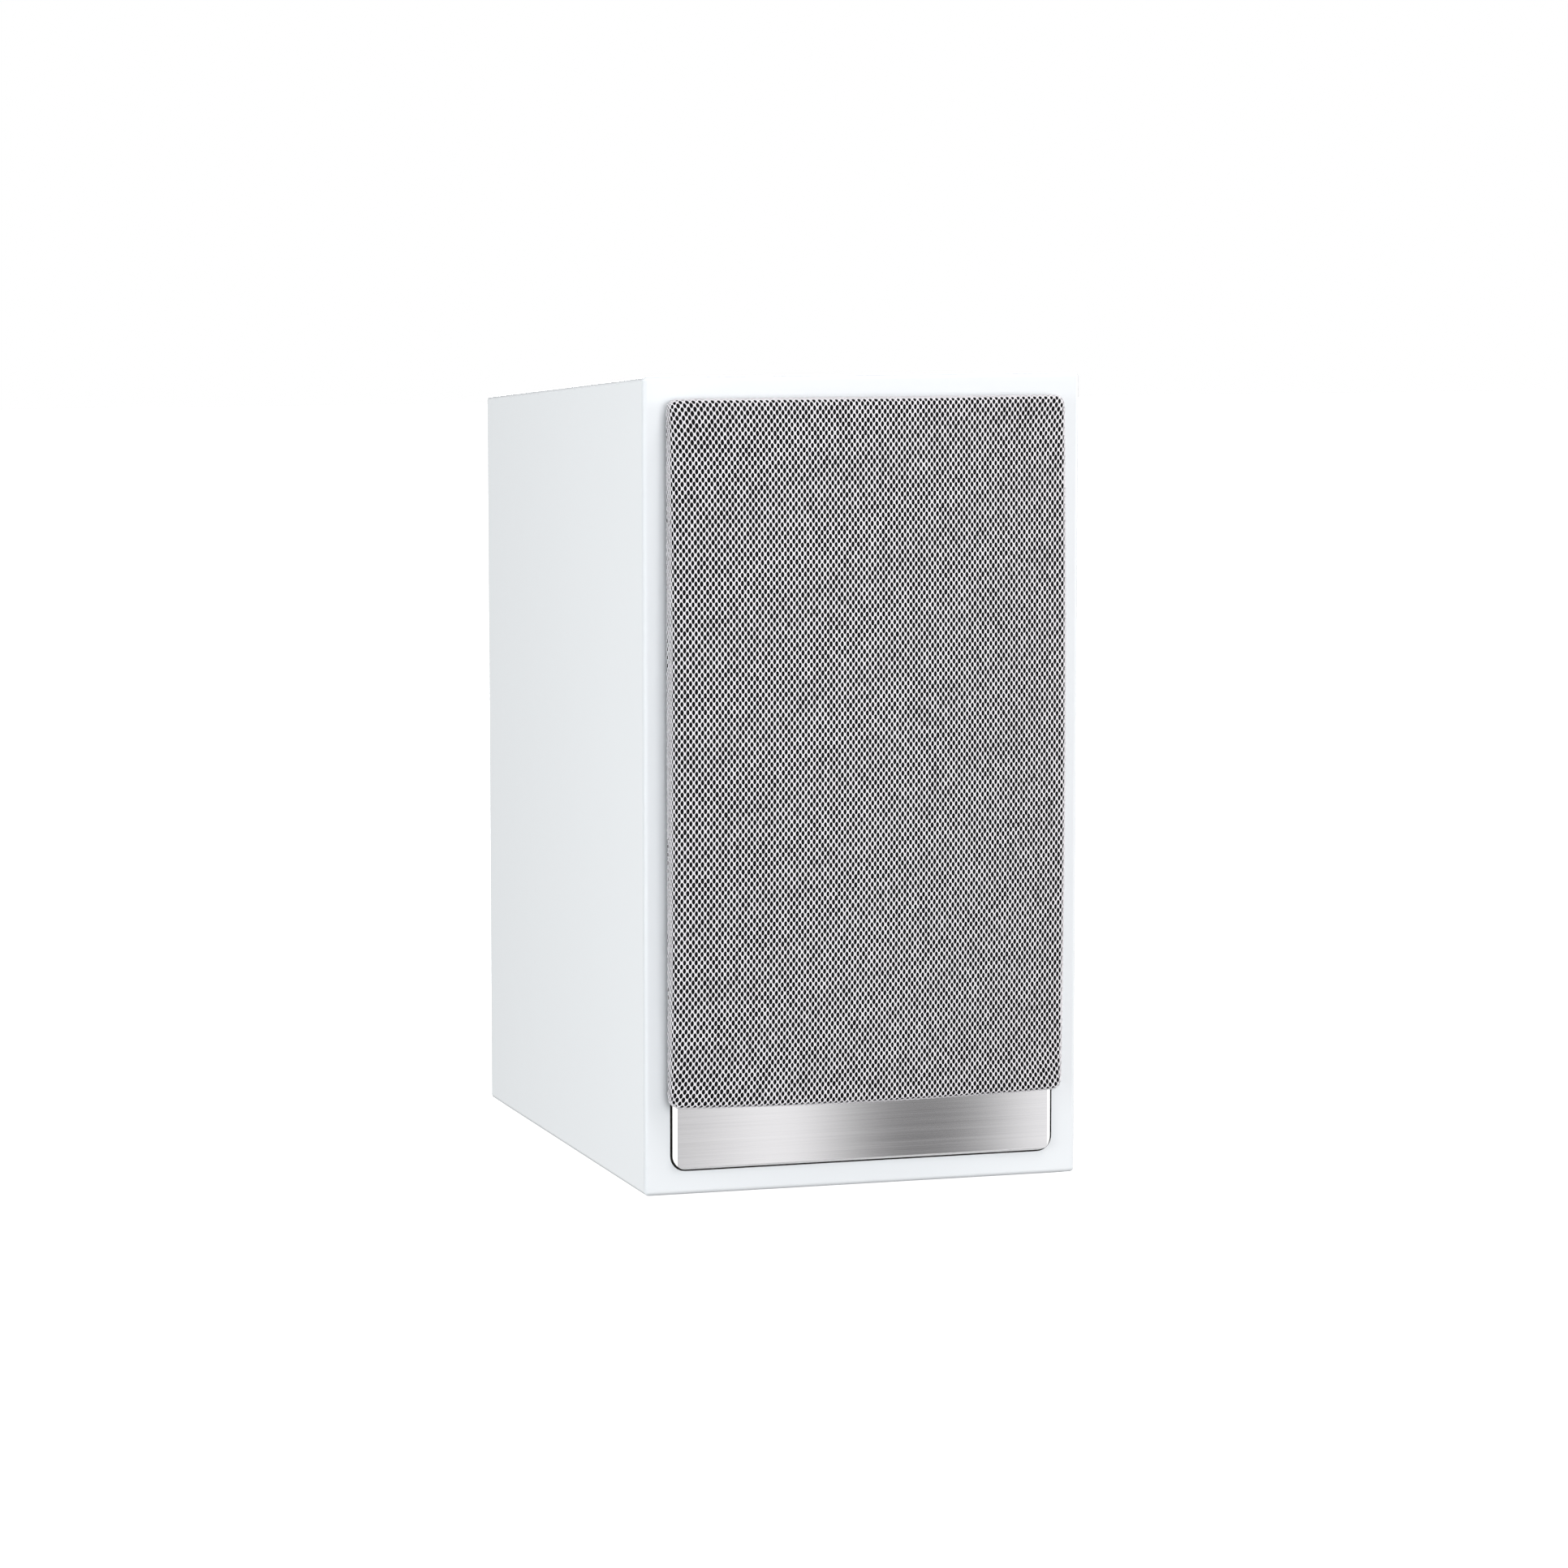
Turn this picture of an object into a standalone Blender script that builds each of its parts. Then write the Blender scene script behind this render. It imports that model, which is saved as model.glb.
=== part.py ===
"""Two-way bookshelf loudspeaker, modelled as an assembly of separate parts.

Metres, +Z up. The front faces -Y. The origin is on the floor, under the middle of the
overall box. Depths of the drivers count from the front of the baffle, inwards.
"""
import math

import bmesh
import bpy
from mathutils import Matrix, Vector

MM = 0.001
GAP = 0.3 * MM                      # clearance between neighbouring solids

# Cabinet
WIDTH = 192 * MM
DEPTH = 260 * MM
FRONT_HEIGHT = 343 * MM
REAR_HEIGHT = 325.4 * MM
FOOT_HEIGHT = 2 * MM
FOOT_RADIUS = 9 * MM
FOOT_INSET = 24 * MM
WALL = 15 * MM
BAFFLE = 18 * MM
EDGE_RADIUS = 2 * MM
FRONT_Y = -DEPTH / 2
REAR_Y = DEPTH / 2
INNER_HALF_WIDTH = WIDTH / 2 - WALL
FLOOR_Z = FOOT_HEIGHT + WALL

# Brace and wadding
BRACE_Z = 205 * MM
BRACE_THICKNESS = 11 * MM
WADDING_THICKNESS = 10 * MM

# Front plate, let into the baffle
PLATE_HALF_WIDTH = 84.2 * MM
PLATE_BOTTOM = FOOT_HEIGHT + 10.9 * MM
PLATE_TOP = FOOT_HEIGHT + 331.5 * MM
PLATE_CORNER = 5.8 * MM
PLATE_PROUD = 2 * MM
PLATE_SIDE_BEVEL = 2.4 * MM
PLATE_BEVEL_DEPTH = 1.7 * MM
PLATE_END_BEVEL = 0.9 * MM
RECESS_DEPTH = 1 * MM
RECESS_MARGIN = 0.6 * MM

# Woofer
WOOFER_Z = 126 * MM
WOOFER_HOLE = 71.5 * MM
FLANGE_RADIUS = 79 * MM
FLANGE_PROUD = 1.8 * MM
WOOFER_SCREW_CIRCLE = 74.7 * MM
CONE_RADIUS = 57 * MM
ROLL_RADIUS = 4.7 * MM
ROLL_CENTRE = 61.3 * MM
ROLL_STEPS = 6
RUBBER = 0.7 * MM
LIP_OUTER = 69.7 * MM
COIL_RADIUS = 15.9 * MM
POLE_RADIUS = 15 * MM
SPIDER_DEPTH = 41 * MM
SPIDER_WAVES = 5
SPIDER_HEIGHT = 1.2 * MM

# Tweeter
TWEETER_Z = 268 * MM
FACE_WIDTH = 128 * MM
FACE_HEIGHT = 100 * MM
FACE_CORNER = 5 * MM
CUTOUT_WIDTH = 96 * MM
CUTOUT_HEIGHT = 70 * MM
MOTOR_WIDTH = 84 * MM
MOTOR_HEIGHT = 56 * MM
WINDOW_WIDTH = 62 * MM
WINDOW_HEIGHT = 33 * MM
SLOTS = 7
PLEATS = 15
TWEETER_SCREW_X = 56 * MM
TWEETER_SCREW_Z = 42 * MM

# Screws of both drivers
HEAD_RADIUS = 3.2 * MM
HEAD_HEIGHT = 1.4 * MM
SHANK_RADIUS = 1.8 * MM
SHANK_LENGTH = 13 * MM

# Reflex port
PORT_Z = 256 * MM
PORT_NECK = 26 * MM
PORT_WALL = 3 * MM
PORT_FLARE = 13 * MM
PORT_LENGTH = 120 * MM
PORT_LIP = 46 * MM
PORT_PROUD = 2.8 * MM

# Terminals
TERMINAL_Z = 84 * MM
TERMINAL_WIDTH = 92 * MM
TERMINAL_HEIGHT = 80 * MM
TERMINAL_THICKNESS = 3 * MM
POST_X = 9.5 * MM
POST_Z = 14 * MM
STUD_RADIUS = 3 * MM
BASE_RADIUS = 7.2 * MM
BASE_HEIGHT = 3 * MM
STRAP_THICKNESS = 0.8 * MM
STRAP_HALF_WIDTH = 4.7 * MM
WASHER_RADIUS = 5.8 * MM
WASHER_THICKNESS = 1 * MM
KNOB_RADIUS = 6.6 * MM
KNOB_RIBS = 10
REAR_REACH = 150 * MM

# Grille
GRILLE_HALF_WIDTH = 86.9 * MM
GRILLE_BOTTOM = FOOT_HEIGHT + 37.7 * MM
GRILLE_TOP = FOOT_HEIGHT + 333.7 * MM
GRILLE_CORNER = 4.5 * MM
GRILLE_BACK = 2.3 * MM              # height of the grille's back over the baffle
GRILLE_EDGE = 8.8 * MM              # height of its rim over the baffle
GRILLE_EDGE_RADIUS = 2.5 * MM
CROWN_ACROSS = 7.9 * MM
CROWN_ALONG = 3.3 * MM
CLOTH = 1 * MM
FRAME_RING = 12 * MM
CROSS_BAR_Z = 209 * MM
CROSS_BAR = 12 * MM


def top_z(y):
    """Height of the sloping top at a depth."""
    share = (y - FRONT_Y) / DEPTH
    return FOOT_HEIGHT + FRONT_HEIGHT + (REAR_HEIGHT - FRONT_HEIGHT) * share


def clear_scene():
    for obj in list(bpy.data.objects):
        bpy.data.objects.remove(obj, do_unlink=True)


def material(name, colour, roughness, metallic=0.0):
    """One Principled material for each finish."""
    found = bpy.data.materials.get(name)
    if found:
        return found
    made = bpy.data.materials.new(name)
    made.use_nodes = True
    shader = made.node_tree.nodes["Principled BSDF"]
    shader.inputs["Base Color"].default_value = (*colour, 1.0)
    shader.inputs["Roughness"].default_value = roughness
    shader.inputs["Metallic"].default_value = metallic
    made.diffuse_color = (*colour, 1.0)
    return made


WHITE_LACQUER = ("white_lacquer", (0.90, 0.92, 0.93), 0.12)
BOARD = ("fibreboard", (0.42, 0.30, 0.18), 0.8)
BRUSHED = ("brushed_aluminium", (0.78, 0.77, 0.76), 0.3, 1.0)
BLACK_PLASTIC = ("black_plastic", (0.02, 0.02, 0.02), 0.4)
RUBBER_BLACK = ("rubber", (0.025, 0.025, 0.025), 0.65)
CAST = ("cast_metal", (0.05, 0.05, 0.055), 0.5, 0.6)
CONE_METAL = ("anodised_cone", (0.04, 0.04, 0.045), 0.3, 1.0)
COPPER = ("copper", (0.75, 0.36, 0.17), 0.3, 1.0)
STEEL = ("zinc_steel", (0.6, 0.6, 0.58), 0.35, 1.0)
FERRITE = ("ferrite", (0.06, 0.06, 0.065), 0.75)
SPIDER_CLOTH = ("spider_cloth", (0.65, 0.48, 0.2), 0.9)
FOIL = ("diaphragm_foil", (0.75, 0.62, 0.38), 0.35, 1.0)
GOLD = ("gold_plate", (0.85, 0.62, 0.25), 0.2, 1.0)
CIRCUIT = ("circuit_board", (0.03, 0.18, 0.09), 0.5)
FILM = ("capacitor_film", (0.75, 0.6, 0.12), 0.4)
CERAMIC = ("resistor_body", (0.85, 0.84, 0.8), 0.7)
WADDING = ("wadding", (0.85, 0.85, 0.82), 0.95)
LEAD = ("lead_jacket", (0.5, 0.05, 0.04), 0.5)
CLOTH_GREY = ("grille_cloth", (0.72, 0.71, 0.72), 0.8)


def place(name, bm, finish, location=(0, 0, 0), smooth=True):
    """Turn a bmesh into a named object with its finish."""
    bmesh.ops.recalc_face_normals(bm, faces=bm.faces)
    mesh = bpy.data.meshes.new(name)
    bm.to_mesh(mesh)
    bm.free()
    if smooth:
        mesh.shade_smooth()
        mesh.set_sharp_from_angle(angle=math.radians(35))
    obj = bpy.data.objects.new(name, mesh)
    obj.location = location
    bpy.context.scene.collection.objects.link(obj)
    if finish:
        mesh.materials.append(material(*finish))
    return obj


def cut(obj, cutters, operation="DIFFERENCE"):
    """Cut an object with other objects, which stay hidden guides."""
    for cutter in cutters:
        cutter.hide_render = True
        cutter.display_type = "WIRE"
        step = obj.modifiers.new(cutter.name, "BOOLEAN")
        step.operation = operation
        step.object = cutter


def turned(name, profile, steps, finish, location=(0, 0, 0), axis="Y"):
    """Spin a closed profile of (radius, distance) about an axis through the location."""
    bm = bmesh.new()
    points = [Vector((r, d, 0)) if axis == "Y" else Vector((r, 0, d)) for r, d in profile]
    verts = [bm.verts.new(p) for p in points]
    edges = [bm.edges.new((a, b)) for a, b in zip(verts, verts[1:])]
    closed = all(r > 0 for r, _ in profile)
    if closed:
        edges.append(bm.edges.new((verts[-1], verts[0])))
    turn_axis = (0, 1, 0) if axis == "Y" else (0, 0, 1)
    bmesh.ops.spin(bm, geom=verts + edges, cent=(0, 0, 0), axis=turn_axis,
                   angle=2 * math.pi, steps=steps, use_merge=True)
    bmesh.ops.remove_doubles(bm, verts=bm.verts, dist=1e-6)
    return place(name, bm, finish, location)


def block(name, size, centre, finish, radius=0.0, segments=2):
    """A box, with all of its edges rounded when a radius is given."""
    bm = bmesh.new()
    bmesh.ops.create_cube(bm, size=1, matrix=Matrix.Diagonal((*size, 1)))
    if radius:
        bmesh.ops.bevel(bm, geom=bm.edges[:], offset=radius, segments=segments,
                        profile=0.5, affect="EDGES")
    return place(name, bm, finish, centre)


def rounded_outline(half_width, low, high, corner, steps=5):
    """Outline in X and Z of a rectangle with round corners, anticlockwise."""
    middle = (low + high) / 2
    centres = ((1, 1, 0), (-1, 1, 90), (-1, -1, 180), (1, -1, 270))
    outline = []
    for side, end, start in centres:
        cx = side * (half_width - corner)
        cz = middle + end * ((high - low) / 2 - corner)
        for k in range(steps + 1):
            angle = math.radians(start + 90 * k / steps)
            outline.append((cx + corner * math.cos(angle), cz + corner * math.sin(angle)))
    return outline


def prism(outline, front, back):
    """A bmesh prism of an outline in X and Z between two depths along Y."""
    bm = bmesh.new()
    face = bm.faces.new([bm.verts.new((x, front, z)) for x, z in outline])
    grown = bmesh.ops.extrude_face_region(bm, geom=[face])
    moved = [v for v in grown["geom"] if isinstance(v, bmesh.types.BMVert)]
    bmesh.ops.translate(bm, verts=moved, vec=(0, back - front, 0))
    return bm


def slab(name, half_width, low, high, corner, front, back, finish):
    """A flat plate with round corners that faces along Y."""
    outline = rounded_outline(half_width, low, high, corner)
    return place(name, prism(outline, front, back), finish)


def cylinder_cutter(name, radius, front, back, x, z, steps=32):
    """A round cutter along Y."""
    profile = [(0, front), (radius, front), (radius, back), (0, back)]
    return turned(name, profile, steps, None, (x, 0, z))


def sloped_body(name, half_width, low, front, back, top_drop, finish):
    """A body whose top runs parallel to the cabinet's sloping top."""
    bm = bmesh.new()
    ring = [(front, low), (back, low), (back, top_z(back) - top_drop),
            (front, top_z(front) - top_drop)]
    face = bm.faces.new([bm.verts.new((-half_width, y, z)) for y, z in ring])
    grown = bmesh.ops.extrude_face_region(bm, geom=[face])
    moved = [v for v in grown["geom"] if isinstance(v, bmesh.types.BMVert)]
    bmesh.ops.translate(bm, verts=moved, vec=(2 * half_width, 0, 0))
    return place(name, bm, finish, smooth=False)


# ------------------------------------------------------------------ cabinet
def screw_places():
    """Names and places in X and Z of the screws that hold the two drivers."""
    places = []
    for k in range(4):
        angle = math.radians(45 + 90 * k)
        places.append((f"woofer_screw_{k + 1}", WOOFER_SCREW_CIRCLE * math.cos(angle),
                       WOOFER_Z + WOOFER_SCREW_CIRCLE * math.sin(angle)))
    for k, (side, end) in enumerate(((1, 1), (-1, 1), (-1, -1), (1, -1))):
        places.append((f"tweeter_screw_{k + 1}", side * TWEETER_SCREW_X,
                       TWEETER_Z + end * TWEETER_SCREW_Z))
    return places


def screw_holes(front, back, radius, prefix, drivers):
    """Round cutters for the named driver's screws."""
    return [cylinder_cutter(f"{prefix}_{name}", radius, front, back, x, z, 12)
            for name, x, z in screw_places() if name.startswith(drivers)]


def cabinet_shell():
    """Four walls and the baffle as one lacquered body, open at the rear."""
    shell = sloped_body("cabinet_shell", WIDTH / 2, FOOT_HEIGHT, FRONT_Y, REAR_Y, 0, WHITE_LACQUER)
    rounding = shell.modifiers.new("edges", "BEVEL")
    rounding.width = EDGE_RADIUS
    rounding.segments = 4
    cavity = sloped_body("cut_cavity", INNER_HALF_WIDTH, FLOOR_Z, FRONT_Y + BAFFLE,
                         REAR_Y + WALL, WALL, None)
    woofer_hole = cylinder_cutter("cut_woofer_hole", WOOFER_HOLE, FRONT_Y - WALL,
                                  FRONT_Y + 2 * BAFFLE, 0, WOOFER_Z, 48)
    tweeter_hole = block("cut_tweeter_hole", (CUTOUT_WIDTH, 3 * BAFFLE, CUTOUT_HEIGHT),
                         (0, FRONT_Y, TWEETER_Z), None)
    recess = slab("cut_recess", PLATE_HALF_WIDTH + RECESS_MARGIN, PLATE_BOTTOM - RECESS_MARGIN,
                  PLATE_TOP + RECESS_MARGIN, PLATE_CORNER + RECESS_MARGIN, FRONT_Y - WALL,
                  FRONT_Y + RECESS_DEPTH, None)
    pilots = screw_holes(FRONT_Y - WALL, FRONT_Y + SHANK_LENGTH + MM, SHANK_RADIUS + GAP,
                         "cut_pilot", ("woofer", "tweeter"))
    cut(shell, [cavity, recess, woofer_hole, tweeter_hole] + pilots)


def rear_panel():
    """Board that closes the rear, flush with the ends of the walls."""
    front = REAR_Y - WALL - GAP
    back = REAR_Y - GAP
    panel = sloped_body("rear_panel", INNER_HALF_WIDTH - GAP, FLOOR_Z + GAP, front, back,
                        WALL + GAP, WHITE_LACQUER)
    port = cylinder_cutter("cut_panel_port", PORT_NECK + PORT_FLARE + MM, front - WALL,
                           back + WALL, 0, PORT_Z, 40)
    terminals = block("cut_panel_terminals", (70 * MM, 4 * WALL, 58 * MM),
                      (0, REAR_Y, TERMINAL_Z), None)
    cut(panel, [port, terminals])


def internal_brace():
    """Horizontal shelf with a large window, between the woofer and the tweeter."""
    front = FRONT_Y + BAFFLE + GAP
    back = REAR_Y - WALL - 2 * GAP
    middle = (front + back) / 2
    brace = block("internal_brace", (2 * (INNER_HALF_WIDTH - GAP), back - front, BRACE_THICKNESS),
                  (0, middle, BRACE_Z), BOARD)
    window = block("cut_brace_window", (104 * MM, 160 * MM, 4 * BRACE_THICKNESS),
                   (0, middle, BRACE_Z), None, 8 * MM)
    cut(brace, [window])


def damping_wadding():
    """Inverted U of wadding that lines the sides and top of the upper chamber."""
    low = BRACE_Z + BRACE_THICKNESS / 2 + MM
    front = FRONT_Y + BAFFLE + 6 * MM
    back = REAR_Y - WALL - 6 * MM
    wadding = sloped_body("damping_wadding", INNER_HALF_WIDTH - GAP, low, front, back,
                          WALL + GAP, WADDING)
    hollow = sloped_body("cut_wadding", INNER_HALF_WIDTH - WADDING_THICKNESS, low - WALL,
                         front - WALL, back + WALL, WALL + WADDING_THICKNESS, None)
    cut(wadding, [hollow])


def feet():
    """Four round rubber pads."""
    height = FOOT_HEIGHT - GAP
    profile = [(0, 0), (FOOT_RADIUS - 0.5 * MM, 0), (FOOT_RADIUS, 0.5 * MM),
               (FOOT_RADIUS, height), (0, height)]
    reach_x = WIDTH / 2 - FOOT_INSET
    reach_y = DEPTH / 2 - FOOT_INSET
    for end, y in (("front", -reach_y), ("rear", reach_y)):
        for side, x in (("left", -reach_x), ("right", reach_x)):
            turned(f"foot_{end}_{side}", profile, 16, RUBBER_BLACK, (x, y, 0), "Z")


# ------------------------------------------------------------------ front plate
def shave(bm, point, normal):
    """Cut away what lies beyond a plane, and close the cut."""
    geometry = bm.verts[:] + bm.edges[:] + bm.faces[:]
    bmesh.ops.bisect_plane(bm, geom=geometry, plane_co=point, plane_no=normal, clear_outer=True)
    rim = [e for e in bm.edges if e.is_boundary]
    bmesh.ops.holes_fill(bm, edges=rim)


def front_plate():
    """Brushed plate with wide side bevels and fine end bevels."""
    front = FRONT_Y - PLATE_PROUD
    back = FRONT_Y + RECESS_DEPTH - GAP
    outline = rounded_outline(PLATE_HALF_WIDTH, PLATE_BOTTOM, PLATE_TOP, PLATE_CORNER, 8)
    bm = prism(outline, front, back)
    for side in (-1, 1):
        crease = (side * (PLATE_HALF_WIDTH - PLATE_SIDE_BEVEL), front, 0)
        shave(bm, crease, (side * PLATE_BEVEL_DEPTH, -PLATE_SIDE_BEVEL, 0))
    for z, end in ((PLATE_BOTTOM, -1), (PLATE_TOP, 1)):
        crease = (0, front, z - end * PLATE_END_BEVEL)
        shave(bm, crease, (0, -1, end))
    plate = place("front_plate", bm, BRUSHED)
    woofer = cylinder_cutter("cut_plate_woofer", FLANGE_RADIUS + GAP, front - WALL, back + WALL,
                             0, WOOFER_Z, 64)
    tweeter = slab("cut_plate_tweeter", FACE_WIDTH / 2 + GAP, TWEETER_Z - FACE_HEIGHT / 2 - GAP,
                   TWEETER_Z + FACE_HEIGHT / 2 + GAP, FACE_CORNER, front - WALL, back + WALL, None)
    cut(plate, [woofer, tweeter])


# ------------------------------------------------------------------ woofer
def at_depth(profile):
    """Profile points in millimetres, as (radius, y) behind the baffle's front."""
    return [(r * MM, FRONT_Y + d * MM) for r, d in profile]


def woofer_basket():
    """Cast frame with six windows, a landing for the spider and one for the surround."""
    seat = RECESS_DEPTH / MM - GAP / MM
    profile = [(FLANGE_RADIUS / MM - 0.6, -1.8), (FLANGE_RADIUS / MM, -1.2),
               (FLANGE_RADIUS / MM, seat), (70.8, seat), (69.8, 6), (54, 42), (48.5, 46),
               (48.5, 61), (46, 63), (20.5, 63), (20.5, 60), (45.5, 60), (45.5, 42),
               (51.7, 42), (66.2, 6), (66.2, -0.3), (70, -0.3), (70, -1.8)]
    basket = turned("woofer_basket", at_depth(profile), 36, CAST, (0, 0, WOOFER_Z))
    windows = []
    for k in range(6):
        angle = math.radians(60 * k)
        reach = 62 * MM
        window = block(f"cut_basket_window_{k}", (34 * MM, 27 * MM, 32 * MM),
                       (reach * math.cos(angle), FRONT_Y + 24.5 * MM,
                        WOOFER_Z + reach * math.sin(angle)), None)
        window.rotation_euler = (0, -angle, 0)
        windows.append(window)
    front = FRONT_Y - WALL
    shanks = screw_holes(front, FRONT_Y + WALL, SHANK_RADIUS + GAP, "cut_basket_shank", "woofer")
    heads = screw_holes(front, FRONT_Y - FLANGE_PROUD + HEAD_HEIGHT + GAP, HEAD_RADIUS + GAP,
                        "cut_basket_head", "woofer")
    cut(basket, windows + shanks + heads)


def surround():
    """Half-roll rubber edge between the cone and the basket."""
    front = -1.2 * MM
    back = -0.6 * MM
    cone_lip = 53.8 * MM
    angles = [math.pi * k / ROLL_STEPS for k in range(ROLL_STEPS + 1)]
    outer = [(ROLL_CENTRE - ROLL_RADIUS * math.cos(a), front - ROLL_RADIUS * math.sin(a))
             for a in angles]
    hollow = ROLL_RADIUS - RUBBER
    inner = [(ROLL_CENTRE - hollow * math.cos(a), back - hollow * math.sin(a))
             for a in reversed(angles)]
    profile = [(cone_lip, front)] + outer + [(LIP_OUTER, front), (LIP_OUTER, back)]
    profile += inner + [(cone_lip, back)]
    turned("woofer_surround", [(r, FRONT_Y + d) for r, d in profile], 32, RUBBER_BLACK,
           (0, 0, WOOFER_Z))
    ring = [(66.6, -2.1), (69, -2.3), (69.7, -2.1), (69.7, -1.5), (66.6, -1.5)]
    turned("woofer_gasket", at_depth(ring), 32, RUBBER_BLACK, (0, 0, WOOFER_Z))


def cone():
    """Curved cone with a flat rim, its dust cap, and the coil on its former."""
    rim = CONE_RADIUS / MM
    back = [(rim, -0.3), (rim, 0.5), (54.2, 1.1), (44, 7.4), (34, 14.1), (24, 21.6), (16.4, 29.5)]
    front = [(16.4, 28.1), (24, 20.3), (34, 12.9), (44, 6.2), (53.6, -0.3)]
    turned("woofer_cone", at_depth(back + front), 32, CONE_METAL, (0, 0, WOOFER_Z))
    edge_radius = 22 * MM
    rise = 9 * MM
    shell = 0.7 * MM
    edge_depth = FRONT_Y + 21.6 * MM
    steps = 5
    outer = [(edge_radius * k / steps, edge_depth - rise * (1 - (k / steps) ** 2))
             for k in range(steps + 1)]
    inner = [((edge_radius - shell) * k / steps, edge_depth + shell - rise * (1 - (k / steps) ** 2))
             for k in range(steps, -1, -1)]
    turned("woofer_dust_cap", outer + inner, 24, CONE_METAL, (0, 0, WOOFER_Z))
    coil = COIL_RADIUS / MM
    former = [(coil - 0.5, 27), (coil, 27), (coil, 59), (coil + 0.35, 59), (coil + 0.35, 73),
              (coil, 73), (coil, 74), (coil - 0.5, 74)]
    turned("voice_coil", at_depth(former), 24, COPPER, (0, 0, WOOFER_Z))


def spider():
    """Corrugated disc that centres the coil."""
    thickness = 0.6 * MM
    inner = COIL_RADIUS + GAP
    outer = 51 * MM
    flat = 46 * MM
    count = SPIDER_WAVES * 2
    front = []
    for k in range(count + 1):
        wave = SPIDER_HEIGHT * (k % 2)
        front.append((inner + (flat - inner) * k / count, SPIDER_DEPTH - wave))
    front.append((outer, SPIDER_DEPTH))
    back = [(r, d + thickness) for r, d in reversed(front)]
    profile = [(r, FRONT_Y + d) for r, d in front + back]
    turned("woofer_spider", profile, 24, SPIDER_CLOTH, (0, 0, WOOFER_Z))


def magnet_system():
    """Top plate, ferrite ring, and back plate with its vented pole."""
    pole = POLE_RADIUS / MM
    top = [(16.6, 63.3), (44.5, 63.3), (45, 63.8), (45, 69.3), (16.6, 69.3)]
    ring = [(24, 69.6), (49, 69.6), (50, 70.6), (50, 86.6), (49, 87.6), (24, 87.6)]
    yoke = [(5, 62.5), (pole, 62.5), (pole, 87.9), (45, 87.9), (45, 92.4), (43, 94.4), (5, 94.4)]
    for name, profile, finish in (("woofer_top_plate", top, STEEL), ("woofer_magnet", ring, FERRITE),
                                  ("woofer_back_plate", yoke, STEEL)):
        turned(name, at_depth(profile), 32, finish, (0, 0, WOOFER_Z))


def driver_screws():
    """Pan screws that hold both drivers to the baffle."""
    front = FRONT_Y - FLANGE_PROUD
    head_back = front + HEAD_HEIGHT
    profile = [(0, front), (HEAD_RADIUS - 0.6 * MM, front), (HEAD_RADIUS, front + 0.5 * MM),
               (HEAD_RADIUS, head_back), (SHANK_RADIUS, head_back),
               (SHANK_RADIUS, FRONT_Y + SHANK_LENGTH - 2 * MM), (0, FRONT_Y + SHANK_LENGTH)]
    for name, x, z in screw_places():
        turned(name, profile, 12, STEEL, (x, 0, z))


# ------------------------------------------------------------------ tweeter
def frustum(name, front_size, back_size, front, back, z):
    """A tapering cutter between two rectangles that face along Y."""
    bm = bmesh.new()
    rings = []
    for (width, height), y in ((front_size, front), (back_size, back)):
        corners = ((-1, -1), (1, -1), (1, 1), (-1, 1))
        rings.append([bm.verts.new((sx * width / 2, y, z + sz * height / 2)) for sx, sz in corners])
    for ring in rings:
        bm.faces.new(ring)
    edges = [e for e in bm.edges if e.is_boundary]
    bmesh.ops.bridge_loops(bm, edges=edges)
    return place(name, bm, None, smooth=False)


def tweeter_faceplate():
    """Flush faceplate with a short horn mouth and a boss behind it."""
    front = FRONT_Y - FLANGE_PROUD
    seat = FRONT_Y + RECESS_DEPTH - GAP
    boss_back = FRONT_Y + 5 * MM
    face = slab("tweeter_faceplate", FACE_WIDTH / 2, TWEETER_Z - FACE_HEIGHT / 2,
                TWEETER_Z + FACE_HEIGHT / 2, FACE_CORNER, front, seat, BLACK_PLASTIC)
    boss = block("join_tweeter_boss", (92 * MM, boss_back - front - MM, 66 * MM),
                 (0, (boss_back + front + MM) / 2, TWEETER_Z), None)
    cut(face, [boss], "UNION")
    mouth = frustum("cut_tweeter_mouth", (88 * MM, 59 * MM), (58 * MM, 29 * MM),
                    front - 2 * MM, boss_back + 2 * MM, TWEETER_Z)
    shanks = screw_holes(front - WALL, FRONT_Y + WALL, SHANK_RADIUS + GAP, "cut_face_shank", "tweeter")
    heads = screw_holes(front - WALL, front + HEAD_HEIGHT + GAP, HEAD_RADIUS + GAP,
                        "cut_face_head", "tweeter")
    cut(face, [mouth] + shanks + heads)


def pole_grid():
    """Slotted steel plate in front of the pleats."""
    front = FRONT_Y + 5.3 * MM
    thickness = 3 * MM
    grid = block("tweeter_pole_grid", (MOTOR_WIDTH, thickness, MOTOR_HEIGHT),
                 (0, front + thickness / 2, TWEETER_Z), STEEL)
    pitch = WINDOW_WIDTH / SLOTS
    slots = []
    for k in range(SLOTS):
        x = (k - (SLOTS - 1) / 2) * pitch
        slots.append(block(f"cut_grid_slot_{k}", (pitch * 0.6, 4 * thickness, WINDOW_HEIGHT),
                           (x, front, TWEETER_Z), None))
    cut(grid, slots)


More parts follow.
